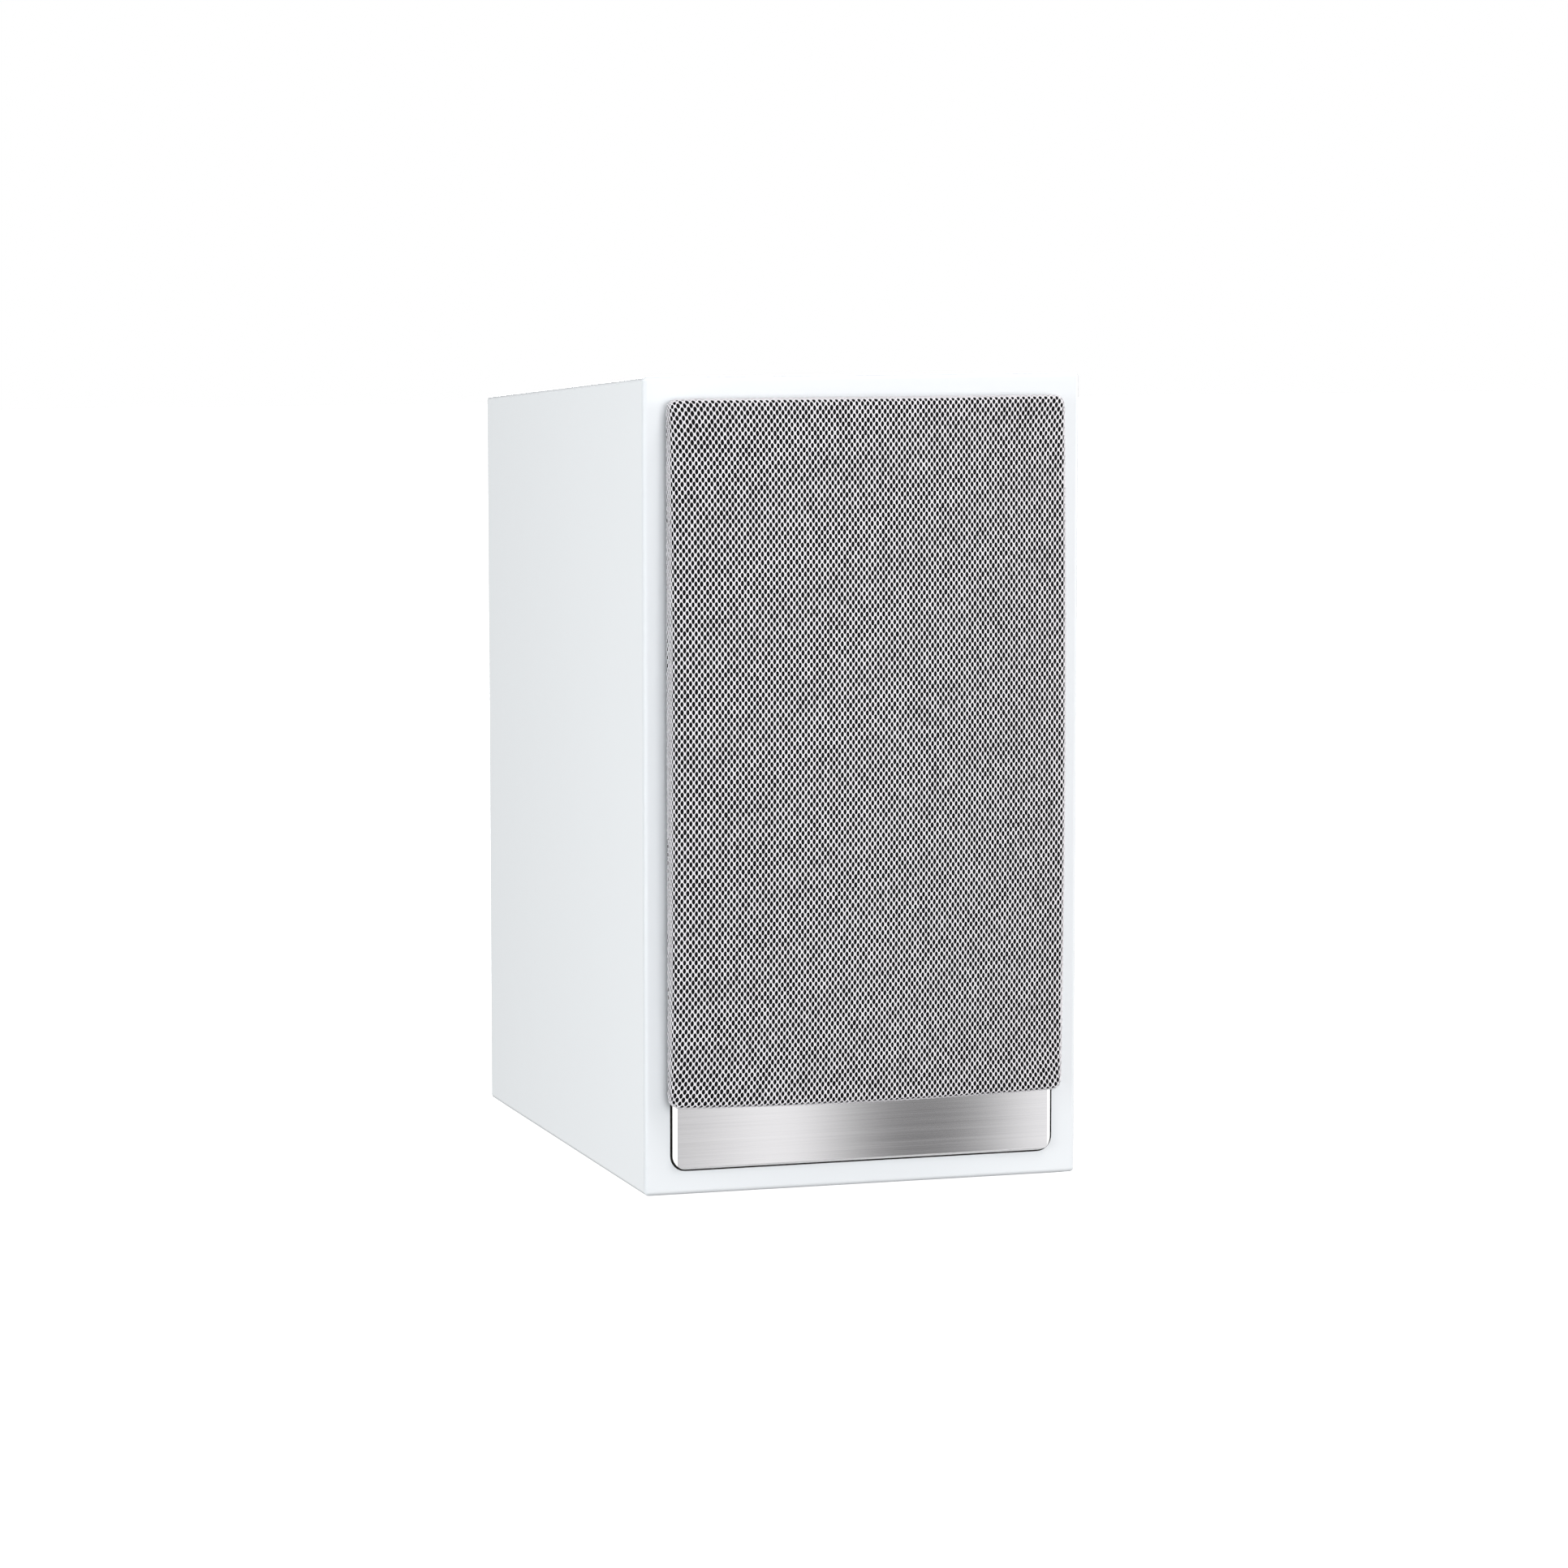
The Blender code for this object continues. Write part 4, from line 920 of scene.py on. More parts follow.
def spider():
    """Corrugated centring disc, in slices."""
    inner = 16.2 * MM
    flat = 46 * MM
    thickness = 0.6 * MM
    corrugations = 5
    front = []
    count = 60
    for k in range(count + 1):
        wave = thickness * (1 - math.cos(2 * math.pi * corrugations * k / count))
        front.append((inner + (flat - inner) * k / count, FRONT_Y + SPIDER_DEPTH - wave))
    front.append((51 * MM, FRONT_Y + SPIDER_DEPTH))
    profile = front + [(r, d + thickness) for r, d in reversed(front)]
    for k in range(SPIDER_SLICES):
        stands_for = ["woofer_spider"] if k == 0 else ()
        sector("woofer_spider", profile, k, SPIDER_SLICES, "spider_cloth",
               stands_for)


def cone():
    """Curved metal cone with a rolled rim. Its profile is in millimetres."""
    front = []
    back = []
    wide, narrow = 53.6, 16.4
    deep = 28.4
    steps = 14
    for k in range(steps + 1):
        share = k / steps
        radius = wide - (wide - narrow) * share
        depth = -0.3 + deep * (0.62 * share + 0.38 * share ** 2)
        front.append((radius, depth))
        back.append((radius + 0.5 * (1 - share), depth + 1.25))
    rim = [(57, 0.5), (57, -0.2), (56.9, -0.3)]
    profile = front + list(reversed(back)) + rim
    piece("woofer_cone_dish", turned(behind(profile), 120, (0, WOOFER_Z)), "cone_metal",
          "woofer_moving", ["woofer_cone"])


def dust_cap():
    """Domed cap over the coil, and the glue seam between it and the cone."""
    edge = FRONT_Y + 21.6 * MM
    shell = 0.7 * MM
    steps = 14
    outer = [(CAP_RADIUS * k / steps, edge - CAP_RISE * (1 - (k / steps) ** 2))
             for k in range(steps + 1)]
    inner = [((CAP_RADIUS - shell) * r / CAP_RADIUS, d + shell) for r, d in reversed(outer)]
    piece("woofer_dust_dome", turned(outer + inner, 96, (0, WOOFER_Z)), "cone_metal",
          "woofer_moving", ["woofer_dust_cap"])
    glue = arc((CAP_RADIUS / MM - 0.1, 21.5), 0.8, 150, 390, 8)
    piece("woofer_cap_seam", turned(behind(glue), 96, (0, WOOFER_Z)), "surround_rubber",
          "woofer_moving")


# ------------------------------------------------------------------ tweeter
def tweeter_faceplate():
    """Satin faceplate whose mouth narrows in a curve to the pleats."""
    front = FRONT_Y - FLANGE_PROUD
    seat = FRONT_Y + 0.7 * MM
    boss = FRONT_Y + 5 * MM
    ease = 0.4 * MM

    def rim(half_width, half_height, corner, y):
        outline = round_box(half_width, TWEETER_Z - half_height, TWEETER_Z + half_height, corner)
        return [(x, y, z) for x, z in outline]

    loops = [rim(46 * MM, 33 * MM, 4 * MM, boss), rim(46 * MM, 33 * MM, 4 * MM, seat),
             rim(FACE_HALF_WIDTH, FACE_HALF_HEIGHT, FACE_CORNER, seat),
             rim(FACE_HALF_WIDTH, FACE_HALF_HEIGHT, FACE_CORNER, front + ease),
             rim(FACE_HALF_WIDTH - ease, FACE_HALF_HEIGHT - ease, FACE_CORNER - ease, front)]
    steps = 10
    for k in range(steps + 1):
        share = k / steps
        closing = math.sin(math.pi / 2 * share)
        depth = 1 - math.cos(math.pi / 2 * share)
        loops.append(rim((44 - 14.5 * closing) * MM, (29.5 - 14.5 * closing) * MM,
                         (6 - 3 * closing) * MM, front + (boss - front) * depth))
    bm = loft(loops, (False, False))
    bmesh.ops.bridge_loops(bm, edges=[e for e in bm.edges if e.is_boundary])
    face = piece("tweeter_horn", bm, "driver_plastic", stands_for=["tweeter_faceplate"])
    cut(face, screw_holes("tweeter"))
    face.data.set_sharp_from_angle(angle=math.radians(32))


def diaphragm():
    """Folded foil, with rounded pleats."""
    low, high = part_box("tweeter_diaphragm")
    depth = 5.4 * MM
    foil_thickness = 0.25 * MM
    steps = 12 * PLEATS
    front = []
    for k in range(steps + 1):
        phase = math.sin(math.pi * (2 * PLEATS * k / steps - 0.5))
        fold = math.copysign(abs(phase) ** 0.55, phase)
        x = low.x + (high.x - low.x) * k / steps
        front.append((x, low.y + 0.4 * MM + depth * (0.5 + 0.5 * fold)))
    ring = front + [(x, y + foil_thickness) for x, y in reversed(front)]
    bm = loft([[(x, y, z) for x, y in ring] for z in (low.z, high.z)], (False, False))
    piece("tweeter_pleats", bm, "diaphragm_foil", stands_for=["tweeter_diaphragm"], sharp=60)


# ------------------------------------------------------------------ rear
def port():
    """Reflex port: a wide flare, a smooth throat, and a soft lip."""
    back = port_high.y
    front = port_low.y
    outer = PORT_NECK + 3 * MM
    collar = PORT_NECK + PORT_FLARE + 0.6 * MM
    flare = arc((PORT_NECK + PORT_FLARE, back - PORT_FLARE), PORT_FLARE, 90, 180, 16)
    mouth = arc((PORT_NECK + 8 * MM, front + 8 * MM), 8 * MM, 180, 270, 10)
    lip = arc((PORT_LIP - 1.2 * MM, back - 1.2 * MM), 1.2 * MM, 0, 90, 6)
    profile = flare + mouth
    profile += [(PORT_NECK + 10 * MM, front), (PORT_NECK + 10 * MM, front + 2 * MM),
                (outer, front + 11 * MM), (outer, back - 22 * MM), (collar, back - 15 * MM),
                (collar, REAR_Y), (PORT_LIP, REAR_Y)]
    piece("port_flare", turned(profile + lip, 128, (0, PORT_Z)), "black_plastic",
          stands_for=["port_tube"])


def post_places():
    """Names and places in X and Z of the binding posts."""
    return [(f"{end}_{side}", x, z)
            for end, z in (("upper", TERMINAL_Z + POST_Z), ("lower", TERMINAL_Z - POST_Z))
            for side, x in (("left", -POST_X), ("right", POST_X))]


def terminal_plate():
    """Plate with a soft rim, a sunk field, and holes for the posts."""
    back = REAR_Y + TERMINAL_THICKNESS
    rows = ((0, REAR_Y), (0, back - 0.9 * MM), (0.35 * MM, back - 0.25 * MM), (1 * MM, back),
            (5 * MM, back), (5.4 * MM, back - 0.5 * MM), (27 * MM, back - 0.5 * MM))
    loops = []
    for inset, y in rows:
        outline = round_box(TERMINAL_HALF_WIDTH - inset, TERMINAL_Z - TERMINAL_HALF_HEIGHT + inset,
                            TERMINAL_Z + TERMINAL_HALF_HEIGHT - inset, max(6 * MM - inset, 1.2 * MM))
        loops.append([(x, y, z) for x, z in outline])
    plate = piece("terminal_panel", loft(loops), "black_plastic", stands_for=["terminal_plate"])
    cut(plate, [drill(STUD_RADIUS, REAR_Y - WALL, REAR_Y + WALL, x, z, 24)
                for _, x, z in post_places()])


def terminal_screws():
    """Four cross-head screws at the corners of the terminal plate."""
    seat = REAR_Y + TERMINAL_THICKNESS - 0.5 * MM
    head = [(0, seat + 1.3 * MM)] + arc((2.4 * MM, seat + 0.7 * MM), 0.6 * MM, 90, 0, 5)
    head += [(3 * MM, seat), (0, seat)]
    inset = 9 * MM
    long, short = 1.7 * MM, 0.35 * MM
    places = corners_of(TERMINAL_HALF_WIDTH - inset, TERMINAL_HALF_HEIGHT - inset, TERMINAL_Z)
    for index, (x, z) in enumerate(places):
        screw = piece(f"terminal_screw_{index + 1}", turned(head, 32, (x, z)), "screw_steel")
        cross = [tool(box((x - w, seat + 0.7 * MM, z - h), (x + w, seat + 2 * MM, z + h)))
                 for w, h in ((long, short), (short, long))]
        cut(screw, cross)


def terminal_signs():
    """A generic minus and plus beside the posts."""
    signs = bmesh.new()
    long, short, thick = 5 * MM, 1.1 * MM, 0.3 * MM
    y = REAR_Y + TERMINAL_THICKNESS - 0.4 * MM
    for side, width, height in ((-1, long, short), (1, long, short), (1, short, long)):
        size = Matrix.Diagonal((width, thick, height, 1))
        place = Matrix.Translation((side * 30 * MM, y, TERMINAL_Z))
        bmesh.ops.create_cube(signs, size=1, matrix=place @ size)
    soften(piece("terminal_signs", signs, "rear_lacquer"), 0.08 * MM, 2)


def binding_posts():
    """Gold studs with fine threads, on insulators with a red or a black ring."""
    face = REAR_Y + TERMINAL_THICKNESS + GAP
    inside = REAR_Y - GAP
    neck = STUD_RADIUS - GAP
    low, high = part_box("terminal_post_upper_left")
    end = high.y
    base = (high.x - low.x) / 2
    seat = face + 3 * MM
    profile = [(0, inside - 9 * MM), (neck - 0.3 * MM, inside - 9 * MM), (neck, inside - 8.7 * MM),
               (neck, inside - 3 * MM), (6 * MM, inside - 3 * MM), (6 * MM, inside), (neck, inside),
               (neck, face), (base - 0.2 * MM, face), (base, face + 0.2 * MM)]
    profile += arc((base - 0.5 * MM, seat - 0.5 * MM), 0.5 * MM, 0, 90, 4)
    pitch = 0.75 * MM
    turns = int((end - seat - 0.5 * MM) / pitch)
    for k in range(turns):
        y = seat + k * pitch
        profile += [(STUD_RADIUS - 0.28 * MM, y + 0.1 * pitch), (STUD_RADIUS, y + 0.6 * pitch)]
    profile += [(STUD_RADIUS - 0.3 * MM, end), (2 * MM, end), (2 * MM, end - 10 * MM),
                (0, end - 10 * MM)]
    for name, x, z in post_places():
        node = f"terminal_post_{name}"
        piece(node + "_stud", turned(profile, 40, (x, z)), "gold_plate", stands_for=[node])


def washers():
    """Clamp washers with eased rims."""
    for name, x, z in post_places():
        node = f"terminal_washer_{name}"
        low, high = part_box(node)
        outer = (high.x - low.x) / 2
        ease = 0.25 * MM
        profile = [(KNOB_BORE, low.y), (outer - ease, low.y), (outer, low.y + ease),
                   (outer, high.y - ease), (outer - ease, high.y), (KNOB_BORE, high.y)]
        piece(node + "_ring", turned(profile, 48, (x, z)), "gold_plate", f"washer_{name}", [node])


def knob_loop(radius, y, depth, ribs, steps, x, z):
    """Closed loop of a ribbed sleeve; depth is how far its grooves go in."""
    loop = []
    for k in range(steps):
        angle = 2 * math.pi * k / steps
        reach = radius - depth * (0.5 - 0.5 * math.cos(ribs * angle)) ** 2
        loop.append((x + reach * math.cos(angle), y, z + reach * math.sin(angle)))
    return loop


def knob_grip(node, body, x, z):
    """Ribbed sleeve with a groove for the coloured ring and a recess for the core."""
    low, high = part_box(node)
    radius = (high.z - low.z) / 2
    ribs = 10
    groove = 0.75 * MM
    ease = 0.5 * MM
    ring_front = high.y - KNOB_RING_FRONT
    ring_back = high.y - KNOB_RING_BACK
    rows = [(KNOB_BORE, low.y, 0), (radius - ease, low.y, 0), (radius, low.y + ease, 0),
            (radius, low.y + 1.4 * MM, 0), (radius, low.y + 1.9 * MM, groove),
            (radius, ring_front - 0.6 * MM, groove), (radius, ring_front - 0.2 * MM, 0),
            (radius, ring_front, 0), (radius - ease, ring_front, 0),
            (radius - ease, ring_back, 0), (radius, ring_back, 0),
            (radius, high.y - 0.6 * MM, 0), (radius - 0.18 * MM, high.y - 0.18 * MM, 0),
            (radius - 0.6 * MM, high.y, 0), (4.4 * MM, high.y, 0), (4.4 * MM, high.y - 0.8 * MM, 0),
            (KNOB_BORE, high.y - 0.8 * MM, 0)]
    loops = [knob_loop(r, y, g, ribs, 16 * ribs, x, z) for r, y, g in rows]
    bm = loft(loops, (False, False))
    bmesh.ops.bridge_loops(bm, edges=[e for e in bm.edges if e.is_boundary])
    piece(node + "_grip", bm, "knob_plastic", body, [node])


def knob_band(node, body, x, z, finish):
    """Coloured ring let into a knob."""
    low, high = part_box(node)
    radius = (high.z - low.z) / 2
    front = high.y - KNOB_RING_FRONT + 0.02 * MM
    back = high.y - KNOB_RING_BACK - 0.02 * MM
    ease = 0.18 * MM
    band = [(radius - 0.48 * MM, front), (radius - 0.05 * MM, front), (radius + 0.02 * MM, front + ease),
            (radius + 0.02 * MM, back - ease), (radius - 0.05 * MM, back), (radius - 0.48 * MM, back)]
    ring = piece(node + "_band", turned(band, 64, (x, z)), "knob_plastic", body)
    ring.data.materials[0] = finish


def knob_core(node, body, x, z):
    """Gold collar in the end of a knob."""
    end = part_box(node)[1].y
    hole = KNOB_BORE - 0.02 * MM
    core = [(hole, end - 0.75 * MM), (4.3 * MM, end - 0.75 * MM), (4.3 * MM, end - 0.35 * MM),
            (4.0 * MM, end - 0.1 * MM), (KNOB_BORE + 0.3 * MM, end - 0.1 * MM),
            (hole, end - 0.35 * MM)]
    piece(node + "_core", turned(core, 48, (x, z)), "gold_plate", body)


def knobs():
    """Ribbed knobs on a gold core, each with its coloured ring."""
    rings = {"left": plastic("ring_black", (0.015, 0.015, 0.016), 0.35, 0.4, 0.006),
             "right": plastic("ring_red", (0.55, 0.012, 0.01), 0.35, 0.4, 0.006)}
    for name, x, z in post_places():
        node = f"terminal_knob_{name}"
        body = f"knob_{name}"
        knob_grip(node, body, x, z)
        knob_band(node, body, x, z, rings[name.split("_")[1]])
        knob_core(node, body, x, z)


# ------------------------------------------------------------------ grille
def crown(x, z):
    """Rise of the grille's front over its rim."""
    across = CROWN_ACROSS * (1 - (x / GRILLE_HALF_WIDTH) ** 2)
    along = CROWN_ALONG * (1 - ((z - GRILLE_MIDDLE) / GRILLE_HALF_HEIGHT) ** 2)
    return across + along


def wrap(u, v, sink):
    """Points of the grille's outside: flat places u, v fold round its edge; sink goes inwards."""
    core_u = GRILLE_HALF_WIDTH - GRILLE_CORNER
    core_v = GRILLE_HALF_HEIGHT - GRILLE_CORNER
    flat = GRILLE_CORNER - GRILLE_EDGE
    over_u = np.maximum(np.abs(u) - core_u, 0)
    over_v = np.maximum(np.abs(v) - core_v, 0)
    reach = np.hypot(over_u, over_v)
    safe = np.maximum(reach, 1e-12)
    way_u = np.sign(u) * over_u / safe
    way_v = np.sign(v) * over_v / safe
    beyond = np.maximum(reach - flat, 0)
    angle = np.minimum(beyond / GRILLE_EDGE, math.pi / 2)
    out = np.minimum(reach, flat) + GRILLE_EDGE * np.sin(angle)
    drop = GRILLE_EDGE * (1 - np.cos(angle)) + np.maximum(beyond - GRILLE_EDGE * math.pi / 2, 0)
    x = np.sign(u) * np.minimum(np.abs(u), core_u) + way_u * out
    z = GRILLE_MIDDLE + np.sign(v) * np.minimum(np.abs(v), core_v) + way_v * out
    height = RIM_HEIGHT + crown(x, z)
    under = np.maximum(drop - (height - GRILLE_BACK), 0)
    drop = drop - under
    turned_in = under > 0
    side = np.where(turned_in, 0.0, np.sin(angle))
    ahead = np.where(turned_in, -1.0, np.cos(angle))
    x -= way_u * (under + side * sink)
    z -= way_v * (under + side * sink)
    y = FRONT_Y - (height - drop) + ahead * sink
    return np.stack([x, y, z], axis=1)


def stretched(u, v):
    """Where the knit lies once it is pulled round the frame's corners."""
    from_side = GRILLE_HALF_WIDTH - np.abs(u)
    from_end = GRILLE_HALF_HEIGHT - np.abs(v)
    near_end = np.exp(-np.maximum(from_end, 0) / (16 * MM))
    near_side = np.exp(-np.maximum(from_side, 0) / (24 * MM))
    tight_side = np.exp(-np.maximum(from_side, 0) / (7 * MM))
    moved_u = u + np.sign(u) * CORNER_STRETCH * near_side * near_end
    moved_v = v - np.sign(v) * CORNER_DROP * tight_side * near_end
    return moved_u, moved_v


def hole_centres():
    """Flat places of every hole in the net, in columns that step by half a cell."""
    across = int(1.4 * GRILLE_HALF_WIDTH / CELL_ACROSS)
    up = int(1.2 * GRILLE_HALF_HEIGHT / CELL_UP)
    i, j = np.meshgrid(np.arange(-2 * across, 2 * across + 1), np.arange(-2 * up, 2 * up + 1))
    keep = (i + j) % 2 == 0
    u = i[keep] * CELL_ACROSS / 2
    v = j[keep] * CELL_UP / 2
    moved_u, moved_v = stretched(u, v)
    over_u = np.maximum(np.abs(moved_u) - GRILLE_HALF_WIDTH + GRILLE_CORNER, 0)
    over_v = np.maximum(np.abs(moved_v) - GRILLE_HALF_HEIGHT + GRILLE_CORNER, 0)
    beyond = np.hypot(over_u, over_v) - GRILLE_CORNER + GRILLE_EDGE
    edge_x = np.minimum(np.abs(moved_u), GRILLE_HALF_WIDTH)
    edge_z = GRILLE_MIDDLE + np.minimum(np.abs(moved_v), GRILLE_HALF_HEIGHT)
    depth = RIM_HEIGHT + crown(edge_x, edge_z) - GRILLE_BACK
    within = beyond < GRILLE_EDGE * (math.pi / 2 - 1) + depth + HEM
    return u[within], v[within]


def knit_rings():
    """Offsets of a hole's shared outer corners, its rim, and its curled-in lip."""
    half = CELL_ACROSS / 2
    shoulder = CELL_UP / 4 - CELL_ACROSS ** 2 / (4 * CELL_UP)
    peak = CELL_UP / 4 + CELL_ACROSS ** 2 / (4 * CELL_UP)
    outer = np.array([(half, 0), (half, shoulder), (0, peak), (-half, shoulder), (-half, 0),
                      (-half, -shoulder), (0, -peak), (half, -shoulder)])
    turn = np.radians([0, 38, 90, 142, 180, 218, 270, 322])
    rim = np.stack([HOLE_ACROSS / 2 * np.cos(turn), HOLE_UP / 2 * np.sin(turn)], axis=1)
    return outer, rim, rim * 1.04


def cloth(name, points, faces, finish, stands_for=()):
    """A sheet stretched over the grille's frame."""
    mesh = bpy.data.meshes.new(name)
    mesh.from_pydata(points.tolist(), [], faces.tolist())
    made = finished(name, mesh, finish, "grille", stands_for, 180)


def net(name, centres_u, centres_v, stands_for):
    """One length of the net, as a mesh of threads round its holes."""
    random = np.random.default_rng(SEED)
    outer, rim, lip = knit_rings()
    count = len(centres_u)
    centres = np.stack([centres_u, centres_v], axis=1)
    corner = (centres[:, None, :] + outer[None]).reshape(-1, 2)
    keys, back = np.unique(np.round(corner / SAME).astype(np.int64), axis=0, return_inverse=True)
    shared = keys * SAME + random.normal(0, THREAD_WANDER, keys.shape)
    size = 1 + random.normal(0, 0.035, (count, 1, 1))
    jitter = random.normal(0, 0.018 * MM, (count, 1, 2))
    rims = (centres[:, None, :] + rim[None] * size + jitter).reshape(-1, 2)
    lips = (centres[:, None, :] + lip[None] * size + jitter).reshape(-1, 2)
    laid_out = np.concatenate([shared, rims, lips])
    crests = np.abs(random.normal(THREAD_WANDER, THREAD_WANDER, len(shared)))
    sink = np.concatenate([crests, np.full(len(rims), 0.45 * THREAD_DEPTH),
                           np.full(len(lips), THREAD_DEPTH)])
    points = wrap(*stretched(laid_out[:, 0], laid_out[:, 1]), sink)
    around = np.arange(8)
    after = (around + 1) % 8
    back = back.reshape(count, 8)
    rim_ids = len(shared) + 8 * np.arange(count)[:, None]
    lip_ids = rim_ids + 8 * count
    crest = np.stack([back[:, around], back[:, after], rim_ids + after, rim_ids + around], axis=2)
    curl = np.stack([rim_ids + around, rim_ids + after, lip_ids + after, lip_ids + around], axis=2)
    faces = np.concatenate([crest.reshape(-1, 4), curl.reshape(-1, 4)])
    cloth(name, points, faces, "grille_cloth", stands_for)


def grille_net():
    """The cloth in three lengths, one above another, so that each stays light enough."""
    u, v = hole_centres()
    lengths = ("lower", "middle", "upper")
    bounds = np.linspace(v.min() - 1e-6, v.max() + 1e-6, len(lengths) + 1)
    for k, place in enumerate(lengths):
        inside = (v >= bounds[k]) & (v < bounds[k + 1])
        net(f"grille_net_{place}", u[inside], v[inside],
            ["grille_cloth"] if k == 0 else ())


def shade_scrim():
    """Black lining stretched under the net, as painted shade for the inside of the grille."""
    half_u = GRILLE_HALF_WIDTH + 11 * MM
    half_v = GRILLE_HALF_HEIGHT + 8 * MM
    columns = np.linspace(-half_u, half_u, 161)
    rows = np.linspace(-half_v, half_v, 241)
    u, v = np.meshgrid(columns, rows)
    points = wrap(u.ravel(), v.ravel(), np.full(u.size, SCRIM_SINK))
    wide = len(columns)
    faces = [(r * wide + c, r * wide + c + 1, (r + 1) * wide + c + 1, (r + 1) * wide + c)
             for r in range(len(rows) - 1) for c in range(wide - 1)]
    cloth("grille_shade_scrim", points, np.array(faces), "grille_shade_lining")


def grille_frame():
    """Moulded frame with a crowned rim and one cross bar."""
    inset = 1.3 * MM
    back = FRONT_Y - GRILLE_BACK - 0.6 * MM
    half_width = GRILLE_HALF_WIDTH - inset
    half_height = GRILLE_HALF_HEIGHT - inset
    low = GRILLE_MIDDLE - half_height
    high = GRILLE_MIDDLE + half_height
    edge = GRILLE_EDGE - inset
    rim_y = FRONT_Y - RIM_HEIGHT + inset
    loops = []
    rows = [(0.5 * MM, back), (0, back - 0.5 * MM), (0, rim_y + edge)]
    rows += [(edge - r, y) for r, y in arc((0, rim_y + edge), edge, 0, -90, 4)[1:]]
    for step_in, y in rows:
        outline = round_box(half_width - step_in, low + step_in, high - step_in,
                            GRILLE_CORNER - inset, 6)
        loops.append([(x, y, z) for x, z in outline])
    bm = loft(loops)
    across, up = 8, 16
    planes = [((half_width * k / across, 0, 0), (1, 0, 0)) for k in range(1 - across, across)]
    planes += [((0, 0, low + (high - low) * k / up), (0, 0, 1)) for k in range(1, up)]
    for point, normal in planes:
        bmesh.ops.bisect_plane(bm, geom=bm.verts[:] + bm.edges[:] + bm.faces[:],
                               plane_co=point, plane_no=normal)
    for vert in bm.verts:
        if vert.co.y < back - 0.6 * MM:
            vert.co.y -= crown(vert.co.x, vert.co.z)
    frame_piece = piece("grille_frame_ribbed", bm, "black_plastic", "grille", ["grille_frame"])
    ring = 12 * MM
    windows = []
    for bottom, top in ((low + ring, CROSS_BAR_Z - ring / 2), (CROSS_BAR_Z + ring / 2, high - ring)):
        outline = round_box(half_width - ring, bottom, top, 8 * MM)
        windows.append(tool(prism(outline, FRONT_Y - 4 * WALL, back + WALL)))
    cut(frame_piece, windows)
    frame_piece.data.set_sharp_from_angle(angle=math.radians(32))
    soften(frame_piece, 0.4 * MM, 2, 40)
    grille_magnets(half_width - ring / 2, (low + ring / 2, CROSS_BAR_Z, high - ring / 2), back)


def grille_magnets(x, heights, back):
    """Six discs let into the back of the frame."""
    radius = 3.6 * MM
    disc = [(0, back - 1.2 * MM), (radius, back - 1.2 * MM), (radius, back + 0.1 * MM),
            (radius - 0.3 * MM, back + 0.3 * MM), (0, back + 0.3 * MM)]
    for index, (z, side) in enumerate((z, side) for z in heights for side in (-1, 1)):
        piece(f"grille_magnet_{index + 1}", turned(disc, 40, (side * x, z)), "motor_steel", "grille")


# ------------------------------------------------------------------ inside the cabinet
def fluff(y, along):
    """Uneven share of the wadding's thickness: dimples where it is stapled, tufts between."""
    thin, swell, uneven = 0.52, 0.38, 0.08
    quilting = abs(math.sin(math.pi * along / QUILTING) * math.sin(math.pi * y / QUILTING)) ** 0.5
    tufts = math.sin(310 * along + 1.3) * math.sin(270 * y + 2.6)
    return thin + swell * quilting + uneven * tufts


def wadding_outside(half, low_z, top):
    """Outside of the inverted U in X and Z, from its right foot to its left."""
    corner = 14 * MM
    side_steps = 24
    roof_steps = 18
    side = [(half, low_z + (top - corner - low_z) * i / side_steps) for i in range(side_steps)]
    bend = arc((half - corner, top - corner), corner, 0, 90, 8)
    roof = [((half - corner) * (1 - i / roof_steps), top) for i in range(1, roof_steps + 1)]
    right = side + bend + roof
    return right + [(-x, z) for x, z in reversed(right[:-1])]


def wadding_inside(outside, y, ends):
    """Inside of the pad: each point a thickness in from the outside, thinner at the hems."""
    edge = 0.35
    last = len(outside) - 1
    inside = []
    for i, (x, z) in enumerate(outside):
        before, after = outside[max(i - 1, 0)], outside[min(i + 1, last)]
        run = Vector((after[0] - before[0], after[1] - before[1])).normalized()
        hem = min(1, edge + 0.16 * min(i, last - i))
        depth = WADDING * fluff(y, i * 5.5 * MM) * min(ends, hem)
        inside.append((x - run.y * depth, z + run.x * depth))
    return inside


def wadding_pad():
    """Inverted U of matted fibre over the upper chamber's sides and top."""
    low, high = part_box("damping_wadding")
    rows = 60
    loops = []
    for k in range(rows + 1):
        y = low.y + (high.y - low.y) * k / rows
        ends = min(1, 0.35 + 8 * min(k, rows - k) / rows)
        outside = wadding_outside(high.x, low.z, top_z(y) - WALL - GAP)
        inside = wadding_inside(outside, y, ends)
        loops.append([(x, y, z) for x, z in outside + inside[::-1]])
    pad = piece("wadding_pad", loft(loops), "wadding", stands_for=["damping_wadding"], sharp=75)


def smooth_route(points, count):
    """Points of a smooth curve through a list of points."""
    route = []
    last = len(points) - 1
    for k in range(count + 1):
        place_on = k / count * last
        i = min(int(place_on), last - 1)
        t = place_on - i
        before, start = points[max(i - 1, 0)], points[i]
        end, after = points[i + 1], points[min(i + 2, last)]
        route.append(0.5 * (2 * start + (end - before) * t
                            + (2 * before - 5 * start + 4 * end - after) * t ** 2
                            + (3 * start - before - 3 * end + after) * t ** 3))
    return route


